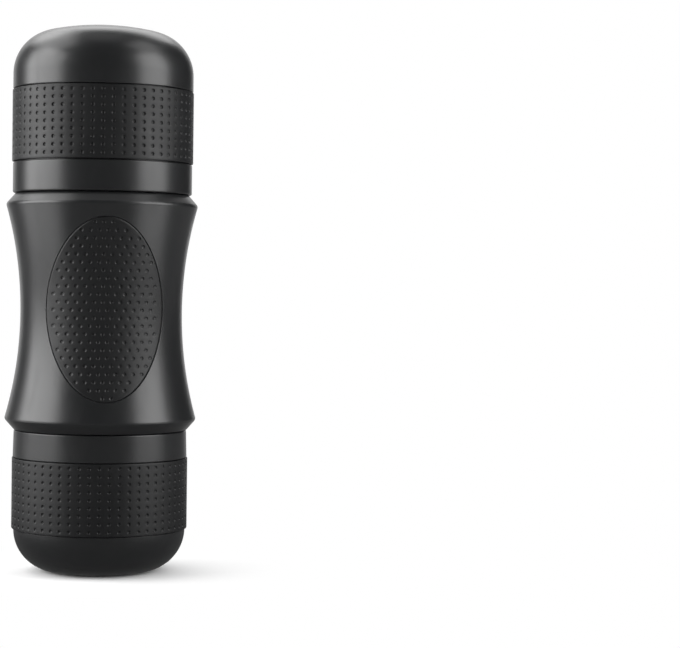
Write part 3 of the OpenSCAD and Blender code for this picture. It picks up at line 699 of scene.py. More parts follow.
class Shader:
    """The nodes of a material or a world under construction."""

    def __init__(self, owner: bpy.types.Material | bpy.types.World) -> None:
        """Empties the node tree of a material or a world and starts on it.

        Args:
            owner: The material or world.
        """
        owner.use_nodes = True
        self.owner = owner
        self.tree = owner.node_tree
        self.tree.nodes.clear()

    def node(self, kind: str, settings: dict[str, Any] | None = None,
             inputs: dict[str | int, Any] | None = None) -> bpy.types.Node:
        """Adds a node.

        Args:
            kind: The node's type.
            settings: Its properties, which are set first.
            inputs: Numbers, colours, values or sockets for its inputs, by name or number.

        Returns:
            The node.
        """
        node = self.tree.nodes.new(kind)
        for name, setting in (settings or {}).items():
            setattr(node, name, setting)
        for name, value in (inputs or {}).items():
            socket = value.socket if isinstance(value, Value) else value
            if isinstance(socket, bpy.types.NodeSocket):
                self.tree.links.new(socket, node.inputs[name])
            else:
                node.inputs[name].default_value = socket
        return node

    def place(self) -> bpy.types.NodeSocket:
        """The point being shaded, in the piece's own frame."""
        return self.node("ShaderNodeTexCoord").outputs["Object"]

    def stretched(self, scale: Sequence[float], turn: Sequence[float] = (0, 0, 0)) -> bpy.types.NodeSocket:
        """The point being shaded, turned and then scaled along each axis."""
        inputs = {"Vector": self.place(), "Scale": tuple(scale), "Rotation": tuple(turn)}
        return self.node("ShaderNodeMapping", {"vector_type": "POINT"}, inputs).outputs["Vector"]

    def noise(self, place: bpy.types.NodeSocket, size: float, detail: float = 2.0) -> Value:
        """Soft random values.

        Args:
            place: Where the noise is read.
            size: Size of its lumps, in millimetres.
            detail: Number of finer layers.

        Returns:
            Values round 0.5.
        """
        inputs = {"Vector": place, "Scale": 1 / (size * MM), "Detail": detail}
        return Value(self, self.node("ShaderNodeTexNoise", {}, inputs).outputs["Fac"])

    def mix(self, share: Value, low: Colour, high: Colour) -> bpy.types.NodeSocket:
        """Blends two colours."""
        inputs = {0: share, 6: (*low, 1), 7: (*high, 1)}
        return self.node("ShaderNodeMix", {"data_type": "RGBA"}, inputs).outputs[2]

    def bump(self, height: Value, depth: float) -> bpy.types.NodeSocket:
        """Relief from a height between 0 and 1, whose full depth is in millimetres."""
        inputs = {"Height": height, "Distance": depth * MM}
        return self.node("ShaderNodeBump", {}, inputs).outputs["Normal"]

    def distance(self, place: bpy.types.NodeSocket) -> Value:
        """How far a point is from the origin, in metres."""
        node = self.node("ShaderNodeVectorMath", {"operation": "LENGTH"}, {0: place})
        return Value(self, node.outputs["Value"])

    def glow(self, shade: float) -> bpy.types.NodeSocket:
        """A surface that shines in a plain grey."""
        return self.node("ShaderNodeEmission", {}, {"Color": grey(shade), "Strength": 1.0}).outputs[0]

    def blend(self, share: Value, *surfaces: bpy.types.NodeSocket) -> bpy.types.NodeSocket:
        """Blends two surfaces."""
        return self.node("ShaderNodeMixShader", {}, {0: share, **dict(enumerate(surfaces, 1))}).outputs[0]

    def surface(self, surface: bpy.types.NodeSocket, kind: str = "ShaderNodeOutputMaterial") -> Any:
        """Ends the tree in its output and gives the material or world."""
        self.node(kind, {}, {"Surface": surface})
        return self.owner


def grey(shade: float) -> tuple[float, ...]:
    """An opaque grey as a node's socket takes it."""
    return (shade, shade, shade, 1)


class Coat(NamedTuple):
    """What varies over a finish: its tone between dark and light, its roughness and its relief."""

    tone: Value
    roughness: Value
    relief: Value


@dataclass(frozen=True)
class Finish:
    """What all finishes share: a colour, its roughness and the grain of the surface."""

    name: str
    colour: Colour
    roughness: float
    grain: float = 0.2
    grain_depth: float = 0.006
    drift: float = 0.06
    specular: float = 0.5
    spread: float = 0.12
    fixed: tuple[tuple[str, float], ...] = ()

    def made(self) -> bpy.types.Material:
        """Builds the material.

        Returns:
            The material.
        """
        shader = Shader(bpy.data.materials.new(self.name))
        coat = self.coat(shader)
        dark, light = (tuple(c * (1 + way * self.spread) for c in self.colour) for way in (-1, 1))
        inputs = {"Base Color": shader.mix(coat.tone, dark, light), "Roughness": coat.roughness,
                  "Normal": shader.bump(coat.relief, self.grain_depth), "Specular IOR Level": self.specular}
        inputs.update(self.fixed)
        return shader.surface(shader.node("ShaderNodeBsdfPrincipled", {}, inputs).outputs["BSDF"])

    def coat(self, shader: Shader) -> Coat:
        """Builds what varies over the surface; each finish has its own."""
        raise NotImplementedError


@dataclass(frozen=True)
class MouldedPlastic(Finish):
    """Satin moulded plastic: spark-eroded grain, gloss that drifts, and edges rubbed by handling."""

    spread: float = 0.14
    cloud: float = 14.0
    rub: float = 0.35

    def coat(self, shader: Shader) -> Coat:
        """Builds what varies over the surface.

        Args:
            shader: The material's nodes.

        Returns:
            Clouds with rubbed, smoother edges, on a fine grain.
        """
        place = shader.place()
        cloud = shader.noise(place, self.cloud, 3)
        grain = shader.noise(place, self.grain, 2)
        smudge = shader.noise(shader.stretched((1, 1, 0.35)), self.cloud * 0.4, 4).step(0.52, 0.72)
        edge = Value(shader, shader.node("ShaderNodeNewGeometry").outputs["Pointiness"]).step(0.53, 0.62)
        rubbed = edge * shader.noise(place, 2.5, 4).step(0.35, 0.65) * self.rub
        rough = self.roughness + (cloud - 0.5) * self.drift + smudge * 0.05 - rubbed * 0.12
        relief = grain * 0.75 + shader.noise(place, self.grain * 3.5, 2) * 0.25
        return Coat(cloud * 0.5 + grain * 0.2 + rubbed, rough, relief)


@dataclass(frozen=True)
class GripSilicone(Finish):
    """Soft-touch grip: dull, with a fine matt grain and a trace of dust and skin oil."""

    spread: float = 0.2
    dust: float = 0.5

    def coat(self, shader: Shader) -> Coat:
        """Builds what varies over the surface.

        Args:
            shader: The material's nodes.

        Returns:
            Specks of pale dust and patches smoothed by hands, on a matt grain.
        """
        place = shader.place()
        grain = shader.noise(place, self.grain, 3)
        handled = shader.noise(place, 9.0, 3).step(0.4, 0.7)
        dust = shader.noise(place, 0.45, 5).step(0.66, 0.8) * self.dust
        rough = self.roughness - handled * self.drift + dust * 0.1 + (grain - 0.5) * 0.08
        return Coat(grain * 0.4 + dust, rough, grain)


@dataclass(frozen=True)
class GlossPlastic(Finish):
    """Polished plastic that slides in a bearing: mirror-like, with fine lengthwise hairlines."""

    hairline: float = 0.12

    def coat(self, shader: Shader) -> Coat:
        """Builds what varies over the surface.

        Args:
            shader: The material's nodes.

        Returns:
            Faint waves with worn hairlines along the piston.
        """
        place = shader.place()
        waves = shader.noise(place, 7.0, 2)
        lines = shader.noise(shader.stretched((1, 1, 0.02), (PISTON_LEAN, 0, 0)), self.hairline, 2)
        worn = lines.step(0.58, 0.7) * shader.noise(place, 6.0, 2).step(0.4, 0.6)
        rough = self.roughness + (waves - 0.5) * self.drift + worn * 0.09
        return Coat(waves, rough, waves * 0.9 + lines * 0.1)


@dataclass(frozen=True)
class NaturalPlastic(Finish):
    """Undyed engineering plastic: slightly cloudy, with faint flow marks and light under its skin."""

    spread: float = 0.07
    fixed: tuple[tuple[str, float], ...] = (("Subsurface Weight", 0.06), ("Subsurface Scale", 0.0012))

    def coat(self, shader: Shader) -> Coat:
        """Builds what varies over the surface.

        Args:
            shader: The material's nodes.

        Returns:
            Flow marks on a fine grain.
        """
        flow = shader.noise(shader.stretched((1, 1, 0.3)), 5.0, 4)
        grain = shader.noise(shader.place(), self.grain, 2)
        return Coat(flow * 0.8 + grain * 0.2, self.roughness + (flow - 0.5) * self.drift, grain)


@dataclass(frozen=True)
class BrushedSteel(Finish):
    """Stainless steel, brushed round its upright axis, with small marks of use."""

    spread: float = 0.1
    fixed: tuple[tuple[str, float], ...] = (("Metallic", 1.0),)

    def coat(self, shader: Shader) -> Coat:
        """Builds what varies over the surface.

        Args:
            shader: The material's nodes.

        Returns:
            Brush lines with faint stains.
        """
        brush = shader.noise(shader.stretched((0.06, 0.06, 1)), self.grain, 3)
        stain = shader.noise(shader.place(), 4.0, 4)
        rough = self.roughness + (brush - 0.5) * 0.16 + (stain - 0.5) * self.drift
        return Coat(brush * 0.6 + stain * 0.4, rough, brush)


@dataclass(frozen=True)
class SealSilicone(Finish):
    """Silicone seal: smooth and slightly greasy, with a faint bloom."""

    def coat(self, shader: Shader) -> Coat:
        """Builds what varies over the surface.

        Args:
            shader: The material's nodes.

        Returns:
            A soft bloom on a fine grain.
        """
        place = shader.place()
        bloom = shader.noise(place, 3.0, 4)
        return Coat(bloom, self.roughness + (bloom - 0.5) * self.drift, shader.noise(place, self.grain, 2))


# How far the piston's axis leans from upright.
PISTON_LEAN = math.radians(57)

FINISHES: dict[Slot, Finish] = {
    Slot.HOUSING: MouldedPlastic("satin_black_housing", (0.0100, 0.0104, 0.0110), 0.315),
    Slot.GRIP: GripSilicone("dimpled_grip_silicone", (0.0065, 0.0068, 0.0074), 0.47, grain=0.12,
                            grain_depth=0.008, specular=0.36),
    Slot.GLOSS: GlossPlastic("polished_black_piston", (0.009, 0.009, 0.010), 0.09, grain_depth=0.01,
                             drift=0.04),
    Slot.INNER: MouldedPlastic("inner_black_plastic", (0.016, 0.0165, 0.018), 0.42),
    Slot.PUMP: NaturalPlastic("natural_pump_plastic", (0.62, 0.60, 0.54), 0.38),
    Slot.BEARING: MouldedPlastic("grey_bearing_plastic", (0.055, 0.057, 0.060), 0.45),
    Slot.STEEL: BrushedSteel("brushed_stainless_steel", (0.50, 0.51, 0.52), 0.3, grain_depth=0.004),
    Slot.SEAL_GREY: SealSilicone("grey_seal_silicone", (0.48, 0.475, 0.45), 0.4, grain=0.3),
    Slot.SEAL_BLACK: SealSilicone("black_seal_silicone", (0.028, 0.028, 0.030), 0.42, grain=0.3),
}


@dataclass(frozen=True)
class QuickThread:
    """Ribs of a quick thread: short, steep and evenly spread round a neck or a bore."""

    lead: float = 32.0
    starts: int = 4
    width: float = 20.0
    layers: int = 6
    edge: float = 0.22

    def ribs(self, name: str, inner: float, outer: float, low: float, height: float,
             turn: float) -> list[bpy.types.Object]:
        """Models one rib and copies it round the axis.

        Args:
            name: The ribs' name.
            inner: Radius at the rib's inner side.
            outer: Radius at the rib's outer side.
            low: Height of its lower end.
            height: Height of the rib.
            turn: Angle of the first rib's lower corner, in degrees.

        Returns:
            The ribs.
        """
        rib = Bench.point(name, inner, low)
        bpy.ops.mesh.extrude_vertices_move(TRANSFORM_OT_translate={"value": (outer - inner, 0, 0)})
        Bench.spun(self.layers, -math.radians(self.width))
        rise = height / self.layers
        climb = TAU * rise / self.lead
        bpy.ops.mesh.select_mode(type="FACE")
        bpy.ops.mesh.select_all(action="SELECT")
        for _ in range(self.layers):
            bpy.ops.mesh.extrude_region_move(TRANSFORM_OT_translate={"value": (0, 0, rise)})
            bpy.ops.transform.rotate(value=-climb, orient_axis="Z", center_override=(0, 0, 0))
        Bench.tidy()
        Bench.modified(rib, "BEVEL", width=self.edge, segments=2, limit_method="ANGLE",
                       angle_limit=math.radians(50))
        copies = [rib] + [Bench.copied(rib) for _ in range(self.starts - 1)]
        turns = [turn + 360 * index / self.starts for index in range(self.starts)]
        return [Bench.moved(copy, beside(0, 0, angle)) for copy, angle in zip(copies, turns)]


@dataclass(frozen=True)
class Pit:
    """One round pit of a grip pattern, with a softened rim."""

    radius: float
    depth: float
    rim: float = 0.12
    lip: float = 0.1
    sides: int = 4
    slopes: tuple[float, ...] = (8, 34, 64)

    def cell(self, name: str, width: float, height: float) -> bpy.types.Object:
        """Models one cell of the pattern, lying flat and facing up, with the pit in its middle.

        Args:
            name: The cell's name.
            width: Width of the cell.
            height: Height of the cell.

        Returns:
            The cell, whose edges have as many steps as sides says.
        """
        piece = blank_cell(name, width, height, self.sides)
        Bench.edit()
        Bench.pick("VERT", lambda p: abs(p.x) < 0.49 * width and abs(p.y) < 0.49 * height)
        bpy.ops.mesh.delete(type="VERT")
        at, deep = self.radius + self.rim, 0.0
        bpy.ops.mesh.primitive_circle_add(vertices=4 * self.sides, radius=at)
        bpy.ops.mesh.select_mode(type="EDGE")
        bpy.ops.mesh.select_all(action="SELECT")
        bpy.ops.mesh.bridge_edge_loops()
        Bench.pick("EDGE", lambda p: math.hypot(p.x, p.y) < self.radius + 1.01 * self.rim)
        for slope in map(math.radians, self.slopes):
            radius = self.radius * math.cos(slope)
            depth = self.depth * (self.lip + (1 - self.lip) * math.sin(slope))
            Bench.extrude((0, 0, deep - depth))
            bpy.ops.transform.resize(value=(radius / at, radius / at, 1), center_override=(0, 0, -depth))
            at, deep = radius, depth
        bpy.ops.mesh.edge_face_add()
        Bench.close_edit()
        return piece


def blank_cell(name: str, width: float, height: float, steps: int) -> bpy.types.Object:
    """A flat cell of a grip pattern without its pit.

    Args:
        name: The cell's name.
        width: Its width.
        height: Its height.
        steps: Number of its steps along each side.

    Returns:
        The cell.
    """
    piece = Bench.started(name, bpy.ops.mesh.primitive_grid_add, x_subdivisions=steps, y_subdivisions=steps,
                          size=1)
    return Bench.moved(piece, Matrix.Diagonal((width, height, 1, 1)))


def arrayed(piece: bpy.types.Object, counts: tuple[int, int], pitch: tuple[float, float]) -> None:
    """Repeats a flat cell in columns and rows and merges the copies.

    Args:
        piece: The cell.
        counts: Number of columns and rows.
        pitch: Distance between columns and between rows.
    """
    for count, shift in zip(counts, ((pitch[0], 0, 0), (0, pitch[1], 0))):
        Bench.modified(piece, "ARRAY", use_relative_offset=False, use_constant_offset=True, count=count,
                       constant_offset_displace=shift, use_merge_vertices=True, merge_threshold=0.01)


@dataclass(frozen=True)
class GripBand:
    """A silicone band with a square grid of pits, wrapped round a shell."""

    pit: Pit
    columns: int
    rows: int
    row_pitch: float
    thickness: float
    chamfer: float = 0.25
    gap: float = 0.18
    shift: float = 0.0

    def made(self, name: str, extent: Extent) -> bpy.types.Object:
        """Models the band flat and bends it into a ring.

        Args:
            name: The band's name.
            extent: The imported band's extent.

        Returns:
            The band.
        """
        around = TAU * extent.outer
        pitch = around / self.columns
        band = self.pit.cell(name, pitch, self.row_pitch)
        arrayed(band, (self.columns, self.rows), (pitch, self.row_pitch))
        low, high = -self.row_pitch / 2, self.row_pitch * (self.rows - 0.5)
        tall = extent.high - extent.low - 2 * self.gap
        spare = (tall - (high - low)) / 2 - self.chamfer
        cut, wall = self.chamfer, self.thickness - self.chamfer
        Bench.only(band)
        Bench.edit()
        for edge, way in ((high, 1), (low, -1)):
            Bench.pick("EDGE", lambda p, at=edge: abs(p.y - at) < 0.01)
            Bench.extrude((0, way * spare - self.shift, 0))
            for share in (0.7, 0.3):
                Bench.extrude((0, way * share * cut, (share - 1) * cut))
            Bench.extrude((0, 0, -wall))
            if way > 0:
                Bench.extrude((0, -tall, 0))
        Bench.close_edit()
        middle = (low + high) / 2 - self.shift
        upright = Matrix.Rotation(math.pi / 2, 4, "X")
        centred = Matrix.Translation((-around / 2 + pitch / 2, -middle, 0))
        Bench.moved(band, upright @ centred)
        Bench.modified(band, "SIMPLE_DEFORM", deform_method="BEND", deform_axis="Z", angle=TAU)
        Bench.moved(band, Matrix.Translation((0, -extent.outer, (extent.low + extent.high) / 2)))
        Bench.edit()
        Bench.tidy(0.01)
        return Bench.smooth(band, 40)


@dataclass(frozen=True)
class Waist:
    """The body's outline: one large arc between two flares, with a bevel past each."""

    low: float
    high: float
    edge: float = 27.6
    flare: float = 30.5
    bevel: float = 3.3
    narrow: float = 25.7
    edge_round: float = 0.4
    flare_round: float = 1.5
    flat: float = 100.0
    search: Point = (4.0, 70.0)

    @property
    def middle(self) -> float:
        """Height of the waist."""
        return (self.low + self.high) / 2

    @property
    def bend(self) -> float:
        """Radius of the large arc.

        Returns:
            The radius.
        """
        chord = (self.high - self.low) / 2 - self.bevel
        sag = self.flare - self.narrow
        return (chord * chord + sag * sag) / (2 * sag)

    def side(self, inset: float, start: float, end: float, steps: int) -> list[Corner]:
        """Points along the large arc.

        Args:
            inset: How far inside the surface they lie.
            start: Height of the first point.
            end: Height of the last point.
            steps: Number of chords.

        Returns:
            The points, as section corners.
        """
        reach = self.bend + inset
        first, last = (180 + math.degrees(math.asin((self.middle - z) / reach)) for z in (start, end))
        return arc((self.narrow + self.bend, self.middle), reach, first, last, steps)

    def outline(self) -> list[Corner]:
        """Section corners of the outside, from the lower edge to the upper one.

        Returns:
            The section's corners.
        """
        lower, upper = self.low + self.bevel, self.high - self.bevel
        return [(self.edge, self.low, self.edge_round), (self.flare, lower, self.flare_round),
                *self.side(0, lower, upper, 48)[1:-1],
                (self.flare, upper, self.flare_round), (self.edge, self.high, self.edge_round)]

    def core(self, name: str, inset: float) -> bpy.types.Object:
        """Solid inside of the body, drawn in from its surface.

        Args:
            name: The solid's name.
            inset: How far inside the surface it ends.

        Returns:
            The solid.
        """
        low, high = self.low + self.bevel, self.high - self.bevel
        corners = [(0, low), *self.side(inset, low, high, 24), (0, high)]
        return Bench.turned(name, corners, closed=False)

    def ahead(self, axis: Matrix, x: float, y: float) -> float:
        """Finds where a line beside an axis comes out of the body.

        Args:
            axis: Matrix of the axis.
            x: The line's place across the axis.
            y: The line's place across the axis.

        Returns:
            How far along the axis that is.
        """
        near, far = self.search
        while far - near > SMALLEST:
            half = (near + far) / 2
            place = axis @ Vector((x, y, half))
            rise = place.z - self.middle
            surface = self.narrow + self.bend - math.sqrt(self.bend * self.bend - rise * rise)
            near, far = (half, far) if math.hypot(place.x, place.y) < surface else (near, half)
        return near

    def drape(self, piece: bpy.types.Object, axis: Matrix) -> bpy.types.Object:
        """Lays a piece, drawn flat across an axis, on the body: no operator follows a saddle this truly.

        Args:
            piece: The piece, drawn as if the body's surface were flat at a set distance along its own axis.
            axis: Matrix that takes the piece to its place.

        Returns:
            The piece in its place.
        """
        for vertex in piece.data.vertices:
            if vertex.co.z > self.flat / 2:
                vertex.co.z += self.ahead(axis, vertex.co.x, vertex.co.y) - self.flat
        return Bench.moved(piece, axis)


@dataclass(frozen=True)
class GripPad:
    """The oval silicone pad with staggered rows of pits, let into the body."""

    pit: Pit = Pit(0.54, 0.32, 0.14)
    width: float = 36.0
    thickness: float = 1.2
    rim: float = 0.42
    column_pitch: float = 2.72
    row_pitch: float = 2.47
    rows: int = 23
    shift: tuple[float, float] = (0.4, -0.2)
    margin: tuple[float, float] = (1.3, 0.9)
    recess_round: float = 0.2
    cutter: float = 5.0

    def oval(self, name: str, size: Point, corners: Sequence[Corner]) -> bpy.types.Object:
        """Turns a section and stretches it to an oval.

        Args:
            name: The piece's name.
            size: Half the width and half the height of the oval.
            corners: The section's corners, at the size of half the width.

        Returns:
            The oval piece.
        """
        piece = Bench.turned(name, corners, closed=False)
        return Bench.moved(piece, Matrix.Diagonal((1, size[1] / size[0], 1, 1)))

    def recess(self, half_height: float, level: float, gap: float = 0.04) -> bpy.types.Object:
        """Cutter for the recess that the pad lies in, with a softened edge.

        Args:
            half_height: Half the oval's height.
            level: Height of the pad's face along its own axis.
            gap: Clearance round the pad.

        Returns:
            The cutter, whose axis is the upright one.
        """
        half, soft = self.width / 2 + gap, self.recess_round
        floor, top, out = level - self.thickness - CLEARANCE, level + self.cutter, half + 2.2 * soft
        corners = [(0, floor), (half, floor), *arc((half + soft, level - soft), soft, 180, 90, 3),
                   (out, level + gap), (out, top), (0, top)]
        return self.oval("pad_recess", (half, half_height + gap), corners)

    def row(self, cell: bpy.types.Object, count: int, x: float, y: float) -> bpy.types.Object:
        """Copies a cell a number of times along a row, from a place on.

        Args:
            cell: The cell to copy.
            count: Number of copies.
            x: Place of the first one along the row.
            y: Place of the row.

        Returns:
            The row.
        """
        run = Bench.copied(cell)
        arrayed(run, (count, 1), (self.column_pitch, self.row_pitch))
        return Bench.moved(run, beside(x, y))

    def sheet(self, half_height: float) -> bpy.types.Object:
        """Models the pad's top flat, larger than the oval, with pits only well inside it.

        Args:
            half_height: Half the oval's height.

        Returns:
            The sheet, lying flat.
        """
        size = (self.column_pitch, self.row_pitch)
        pit = self.pit.cell("pad_pit", *size)
        blank = blank_cell("pad_blank", *size, self.pit.sides)
        reach = math.ceil(self.width / 2 / self.column_pitch) + 1
        half = self.rows // 2
        runs = []
        for row in range(-half - 1, half + 2):
            y = row * self.row_pitch + self.shift[1]
            start = (0.5 * (row % 2) - reach) * self.column_pitch + self.shift[0]
            share = abs(y) / (half_height - self.margin[1])
            room = (self.width / 2 - self.margin[0]) * math.sqrt(max(0.0, 1 - share * share))
            places = [start + i * self.column_pitch for i in range(2 * reach + 1)]
            pitted = [i for i, x in enumerate(places) if abs(x) <= room]
            if not pitted:
                runs.append(self.row(blank, len(places), start, y))
                continue
            ends = (0, pitted[0], pitted[-1] + 1, len(places))
            for cell, first, last in zip((blank, pit, blank), ends, ends[1:]):
                runs.append(self.row(cell, last - first, places[first], y))
        for cell in (pit, blank):
            bpy.data.objects.remove(cell)
        sheet = Bench.joined("grip_pad", runs)
        Bench.edit()
        Bench.tidy(0.02)
        return sheet

    def made(self, half_height: float, level: float) -> bpy.types.Object:
        """Models the pad as if the body were flat.

        Args:
            half_height: Half the oval's height.
            level: Height of its face along its own axis.

        Returns:
            The pad, whose axis is the upright one.
        """
        pad = self.sheet(half_height)
        Bench.edit()
        bpy.ops.mesh.select_mode(type="EDGE")
        bpy.ops.mesh.select_non_manifold()
        Bench.extrude((0, 0, -self.thickness - 1))
        bpy.ops.mesh.edge_face_add()
        Bench.tidy(0.001)
        Bench.moved(pad, Matrix.Translation((0, 0, level)))
        half, floor, top = self.width / 2, level - self.thickness, level + self.cutter
        out = half - 1.6 * self.rim
        corners = [(0, floor), (half, floor), *arc((half - self.rim, level - self.rim), self.rim, 0, 90, 4)]
        corners += [(out, level + 0.1), (out, top), (0, top)]
        Bench.combine(pad, "INTERSECT", self.oval("pad_rim", (half, half_height), corners))
        return pad


@dataclass
class MainBody(Assembly):
    """Waisted body shell with the slanted socket of the piston, and the dotted pad on its front."""

    pad: GripPad = GripPad()
    wall: float = 2.2
    ledge: float = 24.4
    ledge_height: float = 3.35
    plate: float = 25.05
    floor_rise: float = 4.1
    socket: float = 17.6
    mouth: float = 15.3
    mouth_round: float = 0.4
    groove: float = 0.7
    boss: float = 3.1
    boss_circle: float = 19.6
    boss_height: float = 5.0
    boss_rib: float = 4.8
    boss_reach: float = 29.0
    boss_hole: float = 0.95
    boss_angles: tuple[int, ...] = (60, 180, 300)
    core_inset: float = 1.0
    socket_drop: float = 4.3

    @property
    def waist(self) -> Waist:
        """The body's outline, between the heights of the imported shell."""
        whole = self.size("body_shell")
        return Waist(whole.low, whole.high)

    @property
    def pad_axis(self) -> Matrix:
        """Matrix of the pad's axis, which points forwards."""
        pad = self.size("grip_pad")
        return Matrix.Translation((0, 0, (pad.low + pad.high) / 2)) @ Matrix.Rotation(math.pi / 2, 4, "X")

    @property
    def half_pad(self) -> float:
        """Half the height of the pad."""
        pad = self.size("grip_pad")
        return (pad.high - pad.low) / 2

    def socket_tube(self, waist: Waist) -> bpy.types.Object:
        """Models the socket as a solid rod, which the bore opens later.

        Args:
            waist: The body's outline.

        Returns:
            The rod, cut off inside the wall.
        """
        foot = self.size("piston_sleeve", self.model.piston).low - self.socket_drop
        tube = Bench.rod("socket", self.socket, foot, 60, at=self.model.piston)
        Bench.combine(tube, "INTERSECT", waist.core("socket_core", self.core_inset))
        return tube

    def bosses(self, waist: Waist, ceiling: float, top: float) -> bpy.types.Object:
        """Models the screw bosses that hang from the ledge, with their ribs to the wall.

        Args:
            waist: The body's outline.
            ceiling: Height of the ledge's underside.
            top: Height of their upper ends.

        Returns:
            All bosses as one piece.
        """
        low, half, pieces = ceiling - self.boss_height, self.boss_rib / 2, []
        for angle in self.boss_angles:
            boss = Bench.rod("boss", self.boss, low, top, 48, beside(self.boss_circle))
            rib = Bench.block("rib", (self.boss_circle, -half, low), (self.boss_reach, half, top))
            Bench.combine(boss, "UNION", rib)
            pieces.append(Bench.moved(boss, beside(0, 0, angle)))
        bosses = Bench.joined("bosses", pieces)
        Bench.combine(bosses, "INTERSECT", waist.core("boss_core", self.core_inset))
        return bosses

    def bore(self, waist: Waist) -> bpy.types.Object:
        """Cutter for the bore of the socket, whose rounded mouth follows the body's surface.

        Args:
            waist: The body's outline.

        Returns:
            The cutter in its place.
        """
        axis = self.model.piston
        bushing = self.size("sleeve_bushing", axis)
        clip = self.size("cylinder_clip", axis)
        wide, seat, clip_top = (size + CLEARANCE for size in (bushing.outer, bushing.high, clip.high))
        soft, level, foot, groove = self.mouth_round, waist.flat, clip.low - 1.5, wide + self.groove
        out, top = self.mouth + 2 * soft, level + 20
        corners = [(0, foot), (wide, foot), (wide, clip.low), (groove, clip.low), (groove, clip_top),
                   (wide, clip_top), (wide, seat), (self.mouth, seat)]
        corners += arc((self.mouth + soft, level - soft), soft, 180, 90, 4)
        corners += [(out, level + 0.15), (out, top), (0, top)]
        return waist.drape(Bench.turned("socket_bore", corners, closed=False), axis)

    def shell(self) -> bpy.types.Object:
        """Models the body shell.

        Returns:
            The shell.
        """
        waist, deck = self.waist, self.size("tank_coupling")
        floor, ceiling = waist.low + self.floor_rise, deck.low - self.ledge_height
        seat = deck.outer + CLEARANCE
        corners = waist.outline()
        corners += [(seat, waist.high, 0.3), (seat, deck.low), (self.ledge, deck.low, 0.2),
                    (self.ledge, ceiling, 0.3), *waist.side(self.wall, ceiling, floor, 24),
                    (self.plate, floor, 0.2), (self.plate, waist.low, 0.3)]
        shell = Bench.turned("body_shell", corners)
        bosses = self.bosses(waist, ceiling, deck.low - CLEARANCE)
        Bench.combine(shell, "UNION", self.socket_tube(waist), bosses)
        screw = Bench.rod("screw_hole", self.boss_hole, ceiling - self.boss_height - 1, waist.high, 24,
                          beside(self.boss_circle, 0, self.boss_angles[0]))
        screws = Bench.ringed(screw, len(self.boss_angles))
        recess = waist.drape(self.pad.recess(self.half_pad, waist.flat), self.pad_axis)
        Bench.combine(shell, "DIFFERENCE", self.bore(waist), recess, screws)
        return Bench.smooth(shell)

    def build(self) -> None:
        """Models the shell and its pad and puts them in place."""
        waist = self.waist
        pad = waist.drape(self.pad.made(self.half_pad, waist.flat), self.pad_axis)
        self.model.place(Bench.smooth(pad), "grip_pad")
        self.model.place(self.shell(), "body_shell")


@dataclass
class Cup(Assembly):
    """Screwed-on cup with its grip band and lip seal."""

    thread: QuickThread = QuickThread()
    base: float = 27.3
    base_round: float = 13.5
    floor: float = 2.6
    inner: float = 25.15
    bore: float = 25.9
    neck: float = 24.5
    ring: float = 27.7
    rim: float = 27.45
    foot: Point = (11.6, 0.35)
    rib_root: float = 0.3
    rib_clear: float = 0.5
    rib_height: float = 2.4
    rib_drop: float = 3.7
    rib_turn: float = -22.0
    seal_notch: float = 0.15
    band: GripBand = GripBand(Pit(0.5, 0.36), columns=56, rows=9, row_pitch=2.46,
                              thickness=1.4, chamfer=0.2)

    def shell(self) -> bpy.types.Object:
        """Models the cup's shell with the ribs in its rim.

        Returns:
            The shell.
        """
        whole = self.size("cup_shell")
        band = self.size("cup_grip_band")
        ledge = self.size("cup_seal").low - CLEARANCE
        seat = band.outer - self.band.thickness
        inside = self.base_round - self.floor
        foot, hollow = self.foot
        corners: list[Corner] = [(0, hollow), (foot, hollow, 0.3), (foot + 0.5, 0, 0.2)]
        corners += arc((self.base - self.base_round, self.base_round), self.base_round, -90, 0, 24)
        corners += [(self.base, band.low, 0.3), (seat, band.low), (seat, band.high),
                    (self.ring, band.high, 0.3), (self.rim, whole.high, 0.45), (self.bore, whole.high, 0.3),
                    (self.bore, ledge, 0.2), (self.inner, ledge, 0.3)]
        corners += arc((self.inner - inside, self.floor + inside), inside, 0, -90, 20) + [(0, self.floor)]
        shell = Bench.turned("cup_shell", corners, closed=False)
        ribs = self.thread.ribs("cup_rib", self.neck + self.rib_clear, self.bore + self.rib_root,
                                whole.high - self.rib_drop, self.rib_height, self.rib_turn)
        Bench.combine(shell, "UNION", *ribs)
        return Bench.smooth(shell)

    def build(self) -> None:
        """Models the cup's pieces and puts them in place."""
        self.model.place(self.shell(), "cup_shell")
        self.model.place(self.band.made("cup_band", self.size("cup_grip_band")), "cup_grip_band")
        seal = self.size("cup_seal")
        middle, notch = (seal.inner + seal.outer) / 2, self.seal_notch
        corners = seal.ring(0.2, 0.2, 0.3, 0.2)
        corners[3:3] = [(middle + way * notch, seal.high - deep * notch, 0.1)
                        for way, deep in ((1, 0), (0, 2), (-1, 0))]
        self.model.turned("cup_seal", corners)


